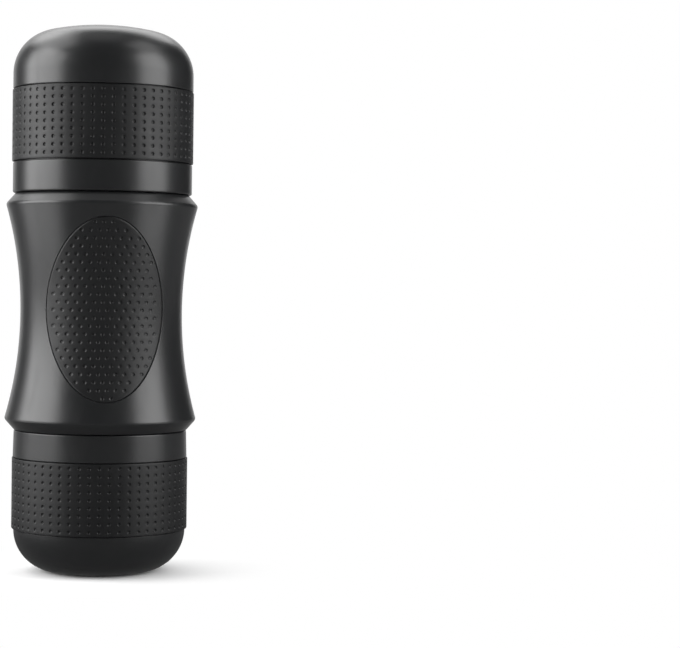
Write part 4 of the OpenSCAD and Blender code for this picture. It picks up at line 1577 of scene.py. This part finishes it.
@dataclass
class Piston(Assembly):
    """The slanted piston: a thick sleeve, a polished stem that telescopes out of it, and a disc head."""

    sleeve: float = 15.0
    sleeve_bore: float = 13.2
    flange: float = 1.8
    edge: float = 1.2
    lip: float = 2.0
    lip_bore: float = 10.9
    stem: float = 9.6
    stem_wall: float = 1.4
    lug: float = 1.3
    lug_angle: float = 36.0
    head_edge: float = 1.3
    collar: float = 10.6
    collar_height: float = 1.8
    web: Point = (33.85, 35.45)
    well: float = 3.8
    journal: float = 1.86
    cap: float = 13.1
    cap_depth: float = 0.6
    dish: float = 0.22

    def lugs(self, low: float) -> list[bpy.types.Object]:
        """Models the two lugs at the stem's foot, which the pump's hooks hold when it is locked.

        Args:
            low: Height of their lower side along the axis.

        Returns:
            The two lugs.
        """
        root, tip, top, reach = self.stem - 0.3, self.stem + self.lug, low + self.lug, 16.0
        spread = math.tan(math.radians(self.lug_angle / 2))
        lugs = []
        for turn in (0, 180):
            corners = [(root, low, 0.1), (tip, low, 0.2), (tip, top, 0.2), (root, top)]
            ring = Bench.turned("lug", corners, Detail.PART)
            wedge = Bench.block("wedge", (0, -reach / 2, low - 1), (reach, reach / 2, low + 3))
            Bench.only(wedge)
            Bench.edit()
            for share, side in ((0.001, 0), (2 * spread, reach)):
                Bench.pick("VERT", lambda p, at=side: abs(p.x - at) < 1)
                bpy.ops.transform.resize(value=(1, share, 1), center_override=(0, 0, low))
            Bench.close_edit()
            Bench.combine(ring, "INTERSECT", wedge)
            lugs.append(Bench.moved(ring, beside(0, 0, turn)))
        return lugs

    def stem_piece(self) -> bpy.types.Object:
        """Models the hollow stem with its lugs.

        Returns:
            The stem in its place.
        """
        size = self.size("piston_stem", self.model.piston)
        section = Extent(size.low, size.high, self.stem - self.stem_wall, self.stem)
        stem = Bench.turned("piston_stem", section.ring(0.2, 0.3, 0.2, 0.2), Detail.PART)
        Bench.combine(stem, "UNION", *self.lugs(size.low))
        return Bench.moved(Bench.smooth(stem), self.model.piston)

    def build(self) -> None:
        """Models the piston's pieces and puts them in place."""
        axis = self.model.piston
        size = self.size("piston_sleeve", axis)
        foot, end, lip = size.low + self.flange, size.high, size.high - self.lip
        corners = [(self.sleeve_bore, size.low, 0.3), (size.outer, size.low, 0.3), (size.outer, foot, 0.3),
                   (self.sleeve, foot), *arc((self.sleeve - self.edge, end - self.edge), self.edge, 0, 90, 8),
                   (self.lip_bore, end, 0.3), (self.lip_bore, lip, 0.2), (self.sleeve_bore, lip)]
        self.model.turned("piston_sleeve", corners, detail=Detail.SHELL, axis=axis)
        self.model.place(self.stem_piece(), "piston_stem")
        head = self.size("piston_head", axis)
        under, seat = head.low + self.collar_height, head.high - self.cap_depth
        edge = head.outer - self.head_edge
        bore, snug = self.stem - self.stem_wall - 2 * CLEARANCE, self.stem + CLEARANCE / 2
        low, high = self.web
        corners = [(bore, under, 0.1), (snug, under), (snug, head.low, 0.1), (self.collar, head.low, 0.3),
                   (self.collar, under, 0.25)]
        corners += arc((edge, under + self.head_edge), self.head_edge, -90, 0, 10)
        corners += arc((edge, head.high - self.head_edge), self.head_edge, 0, 90, 10)
        corners += [(self.cap, head.high, 0.12), (self.cap, seat), (self.well, seat, 0.2), (self.well, high),
                    (self.journal, high, 0.1), (self.journal, low, 0.1), (bore, low, 0.3)]
        self.model.turned("piston_head", corners, detail=Detail.SHELL, axis=axis)
        cap = self.size("head_cap", axis)
        bowl = (cap.outer * cap.outer + self.dish * self.dish) / (2 * self.dish)
        half = math.degrees(math.asin((cap.outer - 0.4) / bowl))
        corners = [(0, cap.low), (cap.outer, cap.low), (cap.outer, cap.high, 0.15)]
        corners += arc((0, cap.high - self.dish + bowl), bowl, -90 + half, -90, 8)
        self.model.turned("head_cap", corners, closed=False, axis=axis)


@dataclass
class OutletHead(Assembly):
    """Rounded outlet head with its pocket for the basket, its spout insert and its seal."""

    thread: QuickThread = QuickThread()
    side: float = 24.6
    wall: float = 2.4
    side_round: float = 40.0
    end_round: float = 7.0
    curve: float = 22.0
    shoulder: float = 41.15
    spigot: float = 21.5
    top_plate: float = 2.2
    pocket: float = 18.0
    skirt: float = 19.4
    skirt_low: float = 33.3
    rim_seat: Point = (19.8, 44.35)
    hole: float = 4.5
    nozzle: float = 1.1
    flange: float = 1.35
    face_step: float = 0.12
    step_inset: float = 0.7
    rib_rise: float = 1.3
    rib_height: float = 2.4
    rib_out: float = 0.8

    def shell(self) -> bpy.types.Object:
        """Models the head with the ribs on its spigot.

        Returns:
            The head.
        """
        whole = self.size("outlet_head")
        end, top = whole.low, whole.high
        side = (self.side - self.side_round, end + self.curve)
        reach = self.side_round - self.end_round
        drop = end + self.end_round - side[1]
        round_ = (side[0] + math.sqrt(reach * reach - drop * drop), end + self.end_round)
        meet = math.degrees(math.atan2(drop, round_[0] - side[0]))
        face, floor, plate = end + self.face_step, end + self.wall, self.shoulder - self.top_plate
        step = round_[0] - self.step_inset
        corners: list[Corner] = [(self.hole, face, 0.35), (step - 0.1, face), (step, end, 0.05)]
        corners += arc(round_, self.end_round, -90, meet, 14)
        corners += arc(side, self.side_round, meet, 0, 20)[1:]
        corners += [(self.side, self.shoulder, 0.5), (self.spigot, self.shoulder, 0.2),
                    (self.spigot, top, 0.4), (self.rim_seat[0], top, 0.2), self.rim_seat,
                    (self.pocket, self.rim_seat[1], 0.2), (self.pocket, self.skirt_low, 0.2),
                    (self.skirt, self.skirt_low, 0.2), (self.skirt, plate), (self.side - self.wall, plate)]
        corners += arc(side, self.side_round - self.wall, 0, meet, 16)
        corners += arc(round_, self.end_round - self.wall, meet, -90, 10)[1:] + [(self.hole, floor, 0.3)]
        shell = Bench.turned("outlet_head", corners)
        ribs = self.thread.ribs("outlet_rib", self.spigot - 0.3, self.spigot + self.rib_out,
                                self.shoulder + self.rib_rise, self.rib_height, 0)
        Bench.combine(shell, "UNION", *ribs)
        return Bench.smooth(shell)

    def build(self) -> None:
        """Models the head's pieces and puts them in place."""
        self.model.place(self.shell(), "outlet_head")
        size = self.size("outlet_spout")
        plug, nozzle = self.hole - 2 * CLEARANCE, size.inner + self.nozzle
        low, flange = size.low + self.nozzle, size.high - self.flange
        corners = size.ring(0.2, 0.2, 0.3, 0.4)
        corners[1:2] = [(nozzle, size.low, 0.25), (nozzle, low, 0.2), (plug, low, 0.4), (plug, flange),
                        (size.outer, flange, 0.2)]
        self.model.turned("outlet_spout", corners)
        ring = self.size("outlet_seal")
        middle, half = (ring.inner + ring.outer) / 2, (ring.high - ring.low) / 2
        self.model.turned("outlet_seal", arc((middle, ring.low + half), half, 0, 345, 23))


@dataclass
class FilterBasket(Assembly):
    """Pressed steel basket with its holes, and the loose disc on its floor."""

    cup: float = 17.5
    foot: float = 1.0
    wall: float = 0.8
    rim_height: float = 1.1
    hole: float = 0.7
    rings: tuple[tuple[float, int], ...] = ((4, 6), (8, 12), (12, 18))
    disc_hole: float = 0.4
    disc_rings: tuple[tuple[float, int], ...] = ((3, 8), (6, 14), (9, 20), (13, 28))

    def build(self) -> None:
        """Models the basket and its disc and puts them in place."""
        size = self.size("filter_basket")
        bore, floor = self.cup - self.wall, size.low + self.wall
        rim = size.high - self.rim_height
        corners = [(0, size.low), (self.cup, size.low, self.foot + 0.4), (self.cup, rim, 0.3),
                   (size.outer, rim, 0.35), (size.outer, size.high, 0.5), (bore, size.high, 0.5),
                   (bore, floor, self.foot), (0, floor)]
        holes = Bench.holes(self.rings, self.hole, size.low - 1, floor + 1)
        self.model.turned("filter_basket", corners, False, cutters=[holes])
        disc = self.size("filter_disc")
        corners = [(0, disc.low), (disc.outer, disc.low, 0.12), (disc.outer, disc.high, 0.2), (0, disc.high)]
        holes = Bench.holes(self.disc_rings, self.disc_hole, disc.low - 1, disc.high + 1)
        self.model.turned("filter_disc", corners, False, cutters=[holes])


@dataclass
class BrewGroup(Assembly):
    """Plate and lower neck under the body, with the outlet valve, the shower screen and the gasket."""

    thread: QuickThread = QuickThread()
    plate: Point = (25.0, 49.4)
    neck: float = 24.5
    neck_bore: float = 22.6
    ceiling: float = 47.5
    shelf: float = 4.25
    lip: Point = (19.4, 20.3)
    lip_low: float = 45.5
    screw_boss: Point = (3.4, 0.8)
    screen_pad: float = 2.2
    screw_hole: float = 1.0
    screw: float = 0.95
    slot: float = 0.3
    valve_at: Point = (-8.6, -12.5)
    valve: float = 4.0
    valve_top: float = 55.0
    chamber: Point = (2.2, 53.6)
    port: Point = (1.0, 0.9)
    spigot: float = 21.5
    rib_out: float = 1.1
    rib_height: float = 2.4
    rib_turn: float = 22.0
    screen_hole: float = 0.5
    screen_rings: tuple[tuple[float, int], ...] = ((5, 8), (8.5, 14), (12, 20))

    def body(self) -> bpy.types.Object:
        """Models the plate with its neck, ribs and valve housing.

        Returns:
            The group.
        """
        whole = self.size("brew_group")
        screen = self.size("shower_screen")
        plate, top = self.plate
        boss, rise = self.screw_boss
        foot, roof, shelf = whole.low, self.ceiling, whole.low + self.shelf
        pad, (lip_in, lip_out) = screen.high + CLEARANCE, self.lip
        corners = [(0, top + rise / 2), (self.screw_hole, top + rise / 2), (self.screw_hole, pad),
                   (self.screen_pad, pad), (self.screen_pad, roof, 0.2), (lip_in, roof, 0.2),
                   (lip_in, self.lip_low, 0.2), (lip_out, self.lip_low, 0.2), (lip_out, roof, 0.2),
                   (self.neck_bore, roof, 0.3), (self.neck_bore, foot, 0.35), (self.neck, foot, 0.4),
                   (self.neck, shelf, 0.2), (plate, shelf, 0.2), (plate, top, 0.3), (boss, top, 0.3),
                   (boss, top + rise, 0.2), (0, top + rise)]
        group = Bench.turned("brew_group", corners, closed=False)
        there = beside(*self.valve_at)
        house = [(0, top - 1), (self.valve, top - 1), (self.valve, self.valve_top, 0.5), (0, self.valve_top)]
        ribs = self.thread.ribs("neck_rib", self.neck - 0.3, self.neck + self.rib_out, foot + 0.3,
                                self.rib_height, 0)
        ribs += self.thread.ribs("spigot_rib", self.spigot + 0.5, self.neck_bore + 0.3, foot + 1.25,
                                 self.rib_height, self.rib_turn)
        valve = Bench.moved(Bench.turned("valve", house, Detail.SMALL, False), there)
        Bench.combine(group, "UNION", valve, *ribs)
        room, seat = self.chamber
        feed, port = self.port
        under, floor, above = roof - 1, top - 0.5, self.valve_top + 1
        bore = [(0, under), (feed, under), (feed, floor), (room, floor), (room, seat), (port, seat),
                (port, above), (0, above)]
        duct = Bench.moved(Bench.turned("duct", bore, Detail.SMALL, False), there)
        Bench.combine(group, "DIFFERENCE", duct)
        return Bench.smooth(group)

    def build(self) -> None:
        """Models the group's pieces and puts them in place."""
        self.model.place(self.body(), "brew_group")
        self.model.turned("group_gasket", self.size("group_gasket").ring(0.4, 0.4, 0.2, 0.2))
        screen = self.size("shower_screen")
        holes = Bench.holes(self.screen_rings, self.screen_hole, screen.low - 1, screen.high + 1)
        self.model.turned("shower_screen", screen.ring(0, 0.2, 0.1, 0), cutters=[holes])
        size = self.size("screen_screw")
        head, out, wide = screen.low - CLEARANCE, size.outer + 1, self.slot
        slot = Bench.block("slot", (-out, -wide, size.low - 1), (out, wide, size.low + wide))
        corners = [(0, size.low), (size.outer, size.low, 0.3), (size.outer, head, 0.1), (self.screw, head),
                   (self.screw, size.high, 0.2), (0, size.high)]
        self.model.turned("screen_screw", corners, False, Detail.SMALL, cutters=[slot])


@dataclass
class TankCoupling(Assembly):
    """Deck and threaded neck under the tank, with its screws, strainer and vent valve."""

    thread: QuickThread = QuickThread()
    neck: float = 24.2
    neck_bore: float = 22.2
    deck: float = 2.05
    rib_rise: float = 4.4
    rib_height: float = 4.0
    rib_out: float = 1.1
    screw_circle: float = 19.6
    screw_angle: float = 60.0
    screw_count: int = 3
    screw_hole: float = 1.2
    shank: float = 0.9
    head: Point = (2.1, 1.25)
    cross: Point = (1.2, 0.25)
    cross_depth: float = 0.6
    inlet: Point = (17.5, 1.1)
    strainer: float = 3.5
    strainer_wall: float = 0.6
    strainer_hole: float = 0.35
    strainer_holes: tuple[tuple[float, int], ...] = ((1.9, 8),)
    vent: Point = (-15.0, 1.2)
    vent_cap: float = 0.95
    vent_foot: float = 1.6
    vent_radii: tuple[float, ...] = (1.3, 1.8, 1.15, 2.6)

    def deck_piece(self) -> bpy.types.Object:
        """Models the deck with its neck and ribs.

        Returns:
            The deck.
        """
        size = self.size("tank_coupling")
        top = size.low + self.deck
        corners = [(0, size.low), (size.outer, size.low, 0.3), (size.outer, top, 0.4), (self.neck, top, 0.3),
                   (self.neck, size.high, 0.5), (self.neck_bore, size.high, 0.5), (self.neck_bore, top, 0.8),
                   (0, top)]
        deck = Bench.turned("tank_coupling", corners, closed=False)
        Bench.combine(deck, "UNION", *self.thread.ribs("neck_rib", self.neck - 0.3, self.neck + self.rib_out,
                                                       top + self.rib_rise, self.rib_height, 0))
        places = [(self.screw_hole, self.screw_at), (self.inlet[1], beside(self.inlet[0])),
                  (self.vent[1], beside(0, self.vent[0]))]
        screw, *pipes = [Bench.rod("hole", radius, size.low - 1, top + 1, 32, at) for radius, at in places]
        Bench.combine(deck, "DIFFERENCE", Bench.ringed(screw, self.screw_count), *pipes)
        return Bench.smooth(deck)

    @property
    def screw_at(self) -> Matrix:
        """Matrix that takes an upright piece to the first screw's place."""
        return beside(self.screw_circle, 0, self.screw_angle)

    def screws(self) -> bpy.types.Object:
        """Models one screw with its cross slot, and copies it.

        Returns:
            All screws as one piece.
        """
        size = self.size("coupling_screws")
        shank, head, top, low = self.shank, self.head[0], size.high, size.high - self.head[1]
        corners = [(0, size.low), (shank, size.low, 0.3), (shank, low), (head, low, 0.1), (head, top, 0.7),
                   (0, top)]
        screw = Bench.turned("screw", corners, Detail.SMALL, False)
        for x, y in (self.cross, self.cross[::-1]):
            slot = Bench.block("slot", (-x, -y, top - self.cross_depth), (x, y, top + 1))
            Bench.combine(screw, "DIFFERENCE", slot)
        Bench.ringed(Bench.moved(screw, self.screw_at), self.screw_count)
        return Bench.smooth(screw)

    def build(self) -> None:
        """Models the coupling's pieces and puts them in place."""
        self.model.place(self.deck_piece(), "tank_coupling")
        self.model.place(self.screws(), "coupling_screws")
        size, out = self.size("intake_strainer"), self.strainer
        bore, roof = out - self.strainer_wall, size.high - self.strainer_wall
        corners = [(bore, size.low), (out, size.low, 0.1), (out, size.high, 0.5), (0, size.high), (0, roof),
                   (bore, roof, 0.2)]
        strainer = Bench.turned("strainer", corners, Detail.SMALL)
        holes = Bench.holes(self.strainer_holes, self.strainer_hole, size.high - 2, size.high + 1)
        Bench.combine(strainer, "DIFFERENCE", holes)
        self.model.place(Bench.moved(Bench.smooth(strainer), beside(self.inlet[0])), "intake_strainer")
        size = self.size("vent_valve")
        cap, rest = size.high - self.vent_cap, size.low + self.vent_foot
        foot, barb, stem, brim = self.vent_radii
        corners = [(0, size.low), (foot, size.low, 0.4), (barb, rest, 0.2), (stem, rest), (stem, cap),
                   (brim, cap, 0.1), (brim - 0.2, cap + 0.35, 0.2), (0, size.high)]
        vent = Bench.smooth(Bench.turned("vent", corners, Detail.SMALL, False))
        self.model.place(Bench.moved(vent, beside(0, self.vent[0])), "vent_valve")


@dataclass(frozen=True)
class Coil:
    """A round-wire compression spring."""

    radius: float
    wire: float
    turns: int
    sides: int = 10
    steps: int = 28

    def made(self, name: str, low: float, high: float) -> bpy.types.Object:
        """Models the spring by turning its wire along a screw line.

        Args:
            name: The spring's name.
            low: Height of its lower end.
            high: Height of its upper end.

        Returns:
            The spring, round the upright axis.
        """
        spring = Bench.started(name, bpy.ops.mesh.primitive_circle_add, vertices=self.sides, radius=self.wire,
                               rotation=(math.pi / 2, 0, 0), location=(self.radius, 0, low + self.wire))
        Bench.modified(spring, "SCREW", iterations=self.turns, angle=TAU, steps=self.steps,
                       screw_offset=(high - low - 2 * self.wire) / self.turns, render_steps=self.steps)
        Bench.edit()
        bpy.ops.mesh.select_mode(type="EDGE")
        bpy.ops.mesh.select_non_manifold()
        bpy.ops.mesh.edge_face_add()
        Bench.tidy(0.0001)
        return Bench.smooth(spring, 50)


@dataclass
class Springs(Assembly):
    """The piston's return spring and the two valve springs."""

    coil: Coil = Coil(7.3, 0.42, 11)
    valve_coil: Coil = Coil(1.25, 0.2, 4, 8, 16)
    valves: tuple[tuple[str, str, Point], ...] = (
        ("outlet_valve_spring", "outlet_ball_lift", (-8.6, -12.5)),
        ("inlet_valve_spring", "inlet_ball_lift", (17.5, 0.0)),
    )

    def build(self) -> None:
        """Models the springs and puts them in place."""
        axis = self.model.piston
        size = self.size("return_spring", axis)
        spring = Bench.moved(self.coil.made("return_spring", size.low, size.high), axis)
        self.model.place(spring, "return_spring", ride=False)
        ends = [(axis @ Vector((0, 0, height))) * MM for height in (size.low, size.high)]
        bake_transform(spring)
        for node, lift, (x, y) in self.valves:
            size = self.size(node)
            spring = self.valve_coil.made(node, size.low, size.high)
            self.model.place(Bench.moved(spring, beside(x, y)), node)
            travel = max(self.model.joint(lift)["range_m"]) / MM
            keep = 1 - travel / (size.high - size.low)
            size.low * MM
            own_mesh(spring)


@dataclass
class WaterTank(Assembly):
    """Domed tank with its grip band, thread and seal."""

    thread: QuickThread = QuickThread()
    ring: float = 28.45
    wall: float = 2.8
    dome: float = 28.6
    shoulder: float = 14.0
    crown: float = 80.0
    bore: float = 25.7
    ledge: float = 22.8
    ledge_height: float = 1.5
    rib_root: float = 0.3
    rib_clear: float = 0.5
    rib_height: float = 4.0
    rib_drop: float = 4.9
    rib_shift: float = 22.0
    band: GripBand = GripBand(Pit(0.57, 0.42), columns=56, rows=9, row_pitch=2.44,
                              thickness=1.3, gap=0.28, shift=0.2)

    def shell(self) -> bpy.types.Object:
        """Models the tank's shell with the ribs in its mouth.

        Returns:
            The shell.
        """
        whole = self.size("tank_shell")
        band = self.size("tank_grip_band")
        seal = self.size("tank_seal")
        seat = band.outer - self.band.thickness
        top, low, ledge = whole.high, whole.low, seal.high
        centre = (0.0, top - self.crown)
        reach = self.crown - self.shoulder
        out = self.dome - self.shoulder
        side = (out, centre[1] + math.sqrt(reach * reach - out * out))
        meet = math.degrees(math.atan2(side[1] - centre[1], out))
        inner = self.dome - self.wall
        corners = [(self.bore, low, 0.35), (self.ring, low, 0.5), (self.ring, band.low, 0.45),
                   (seat, band.low), (seat, band.high), (self.dome, band.high, 0.35)]
        corners += arc(side, self.shoulder, 0, meet, 20)
        corners += arc(centre, self.crown, meet, 90, 6)[1:]
        inside = arc(centre, self.crown - self.wall, 90, meet, 6)
        inside += arc(side, self.shoulder - self.wall, meet, 0, 16)[1:]
        lip = ledge + self.ledge_height
        inside += [(inner, lip, 0.4), (self.ledge, lip, 0.3), (self.ledge, ledge, 0.3),
                   (self.bore, ledge, 0.2)]
        shell = Bench.turned("tank_shell", corners + inside + [(self.bore, low, 0.35)], closed=False)
        rib_low = self.size("tank_coupling").high - self.rib_drop
        ribs = self.thread.ribs("tank_rib", seal.outer + self.rib_clear, self.bore + self.rib_root,
                                rib_low, self.rib_height, self.rib_shift)
        Bench.combine(shell, "UNION", *ribs)
        return Bench.smooth(shell)

    def build(self) -> None:
        """Models the tank's pieces and puts them in place."""
        self.model.place(self.band.made("tank_band", self.size("tank_grip_band")), "tank_grip_band")
        self.model.place(self.shell(), "tank_shell")
        self.model.turned("tank_seal", self.size("tank_seal").ring(0.25, 0.25, 0.3, 0.3))


@dataclass(frozen=True)
class Camera:
    """The photograph's viewpoint, fitted to the closed product at the left of the picture."""

    distance: float = 658.7
    height: float = 93.66
    around: float = 2.98
    aside: float = 6.667
    down: float = 1.2
    roll: float = 0.752
    lens: float = 108.1

    def made(self) -> None:
        """Adds the camera and makes it the scene's."""
        around = math.radians(self.around)
        at = Vector((-math.sin(around), -math.cos(around), 0)) * self.distance
        at.z = self.height
        bpy.ops.object.camera_add(location=at * MM)
        camera = bpy.context.object
        yaw = Matrix.Rotation(-math.radians(self.around + self.aside), 4, "Z")
        pitch = Matrix.Rotation(math.radians(90 - self.down), 4, "X")
        roll = Matrix.Rotation(math.radians(self.roll), 4, "Z")
        camera.matrix_world = Matrix.Translation(at * MM) @ yaw @ pitch @ roll
        camera.data.sensor_width = 36
        camera.data.lens = self.lens
        bpy.context.scene.camera = camera


@dataclass(frozen=True)
class Softbox:
    """A rectangular lamp, turned to face the object's axis."""

    name: str
    azimuth: float
    distance: float
    height: float
    aim: float
    width: float
    tall: float
    radiance: float

    def made(self) -> None:
        """Adds the lamp, which no camera sees."""
        angle = math.radians(self.azimuth)
        at = Vector((math.sin(angle) * self.distance, -math.cos(angle) * self.distance, self.height))
        bpy.ops.object.light_add(type="AREA", location=at)
        lamp = bpy.context.object
        lamp.name = self.name
        lamp.visible_camera = False
        lamp.data.shape = "RECTANGLE"
        lamp.data.size = self.width
        lamp.data.size_y = self.tall
        lamp.data.energy = self.radiance * math.pi * self.width * self.tall
        lamp.rotation_euler = (Vector((0, 0, self.aim)) - at).to_track_quat("-Z", "Y").to_euler()


@dataclass
class Studio:
    """White floor and background, tall soft lamps, and sheets glowing in reflections alone: painted
    reflections.
    """

    floor_radius: float = 4.0
    floor_colour: float = 0.88
    floor_span: Point = (0.012, 0.06)
    fill: float = 0.22
    # Glow of the tent near the axis and further off: a painted light reflection overhead, painted dark
    # reflections round the sides.
    tent_reflection_glow: Point = (0.7, 0.035)
    tent_span: Point = (0.25, 0.45)
    # Glow of the floor sheet near the object and further off: a painted reflection of the floor.
    card_reflection_glow: Point = (0.14, 0.35)
    card_span: Point = (0.05, 0.3)
    card_gloss: float = 0.45
    card_rough: float = 0.2
    gloss_span: Point = (0.1, 0.22)
    card_hole: float = 0.018
    card_lift: float = 0.001
    cards_radius: float = 1.45
    cards_open: float = 28.0
    cards_sill: float = 0.01
    cards_lintel: float = 0.9
    softboxes: tuple[Softbox, ...] = (
        Softbox("left_softbox", -87, 1.0, 0.55, 0.55, 1.1, 0.92, 6.2),
        Softbox("right_softbox", 64, 1.0, 0.55, 0.55, 0.75, 0.9, 5.4),
        Softbox("upper_left_softbox", -110, 0.55, 0.88, 0.12, 0.85, 0.5, 3.2),
        Softbox("upper_right_softbox", 76, 0.55, 0.9, 0.12, 0.5, 0.4, 2.2),
        Softbox("rear_softbox", 180, 0.75, 0.95, 0.15, 1.3, 0.5, 3.0),
    )

    def seen(self, shader: Shader) -> Value:
        """1 for what the camera, a reflection or a clear material looks at, 0 for what lights a surface.

        Args:
            shader: The nodes to add it to.

        Returns:
            The mask.
        """
        path = shader.node("ShaderNodeLightPath")
        camera, glossy, clear = (Value(shader, path.outputs[f"Is {kind} Ray"])
                                 for kind in ("Camera", "Glossy", "Transmission"))
        return (camera + glossy + clear).step(0, 1)

    def floor(self) -> None:
        """Lays the floor: it takes the object's shadow, and turns plain white further off."""
        sheet = Bench.started("studio_floor", bpy.ops.mesh.primitive_circle_add, vertices=64,
                              radius=self.floor_radius, fill_type="NGON")
        shader = Shader(bpy.data.materials.new("white_floor"))
        share = self.seen(shader) * shader.distance(shader.place()).step(*self.floor_span)
        paper = shader.node("ShaderNodeBsdfDiffuse", {}, {"Color": grey(self.floor_colour)}).outputs[0]
        sheet.data.materials.append(shader.surface(shader.blend(share, paper, shader.glow(1))))

    def reflection_card(self, reflection_card: bpy.types.Object, glows: Point, span: Point, gloss: float) -> None:
        """Makes a sheet glow for reflections alone, as painted reflection, cut away where it stands behind
        the object.

        Args:
            reflection_card: The sheet, which is the active piece.
            glows: How brightly it glows near the upright axis and further off, as painted reflection.
            span: Distances from the axis between which it passes from one shade to the other.
            gloss: How much of the lamps it mirrors, away from the object, as painted highlight.
        """
        gap = math.radians(self.cards_open)
        Bench.edit()
        Bench.pick("FACE", lambda p: p.z < 0 or (self.cards_sill < p.z < self.cards_lintel
                                                 and abs(math.atan2(p.x, p.y)) < gap))
        bpy.ops.mesh.delete(type="FACE")
        Bench.close_edit()
        shader = Shader(bpy.data.materials.new(reflection_card.name))
        away = shader.distance(shader.stretched((1, 1, 0)))
        # Painted reflection: two glowing greys, seen only in reflections, passing from one to the other away
        # from the axis.
        plain = shader.blend(away.step(*span), *map(shader.glow, glows))
        # Painted highlight: a mirror of the lamps that only reflections see.
        inputs = {"Color": grey(1), "Roughness": self.card_rough}
        mirror = shader.node("ShaderNodeBsdfGlossy", {}, inputs).outputs[0]
        share = away.step(*self.gloss_span) * gloss
        reflection_card.data.materials.append(shader.surface(shader.blend(share, plain, mirror)))
        reflection_card.visible_camera = reflection_card.visible_diffuse = reflection_card.visible_shadow = False

    def reflection_cards(self) -> None:
        """Adds sheets that glow for reflections alone, round and before the object: painted reflections, as
        black things are lit.
        """
        # Painted reflections: a glowing sphere that only reflections see, light overhead and dark round the
        # sides, open behind.
        tent = Bench.started("painted_reflection_tent", bpy.ops.mesh.primitive_uv_sphere_add, segments=72, ring_count=36,
                             radius=self.cards_radius)
        self.reflection_card(tent, self.tent_reflection_glow, self.tent_span, 0.0)
        # Painted floor reflection: a glowing sheet with a hole under the object, seen only in reflections,
        # that also mirrors the lamps.
        sheet = Bench.started("painted_reflection_card", bpy.ops.mesh.primitive_circle_add, vertices=72,
                              radius=self.cards_radius, location=(0, 0, self.card_lift))
        Bench.edit("SELECT")
        Bench.extrude((0, 0, 0))
        inner = self.card_hole / self.cards_radius
        bpy.ops.transform.resize(value=(inner, inner, 1), center_override=(0, 0, self.card_lift))
        Bench.close_edit()
        self.reflection_card(sheet, self.card_reflection_glow, self.card_span, self.card_gloss)

    def world(self) -> None:
        """Makes the background white to look at and a soft grey to be lit by."""
        shader = Shader(bpy.data.worlds.new("studio_room"))
        level = self.fill + self.seen(shader) * (1 - self.fill)
        background = shader.node("ShaderNodeBackground", {}, {"Color": grey(1), "Strength": level}).outputs[0]
        bpy.context.scene.world = shader.surface(background, "ShaderNodeOutputWorld")

    def build(self) -> None:
        """Sets up world, floor, cards, lamps and colour management."""
        bpy.context.scene.view_settings.view_transform = "Standard"
        self.world()
        self.floor()
        self.reflection_cards()
        for softbox in self.softboxes:
            softbox.made()
            LOG.info("%s at %g degrees", softbox.name, softbox.azimuth)


def main() -> None:
    """Builds the coffee maker and its studio."""
    logging.basicConfig(level=logging.INFO, format="%(name)s: %(message)s")
    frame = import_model()
    Camera().made()
    Studio().build()
    model = Model(frame)
    model.finishes = {slot: finish.made() for slot, finish in FINISHES.items()}
    model.dress(frame["nodes"])
    for assembly in (WaterTank, TankCoupling, MainBody, Piston, Springs, BrewGroup, FilterBasket, OutletHead,
                     Cup):
        assembly(model).build()


if __name__ == "__main__":
    main()
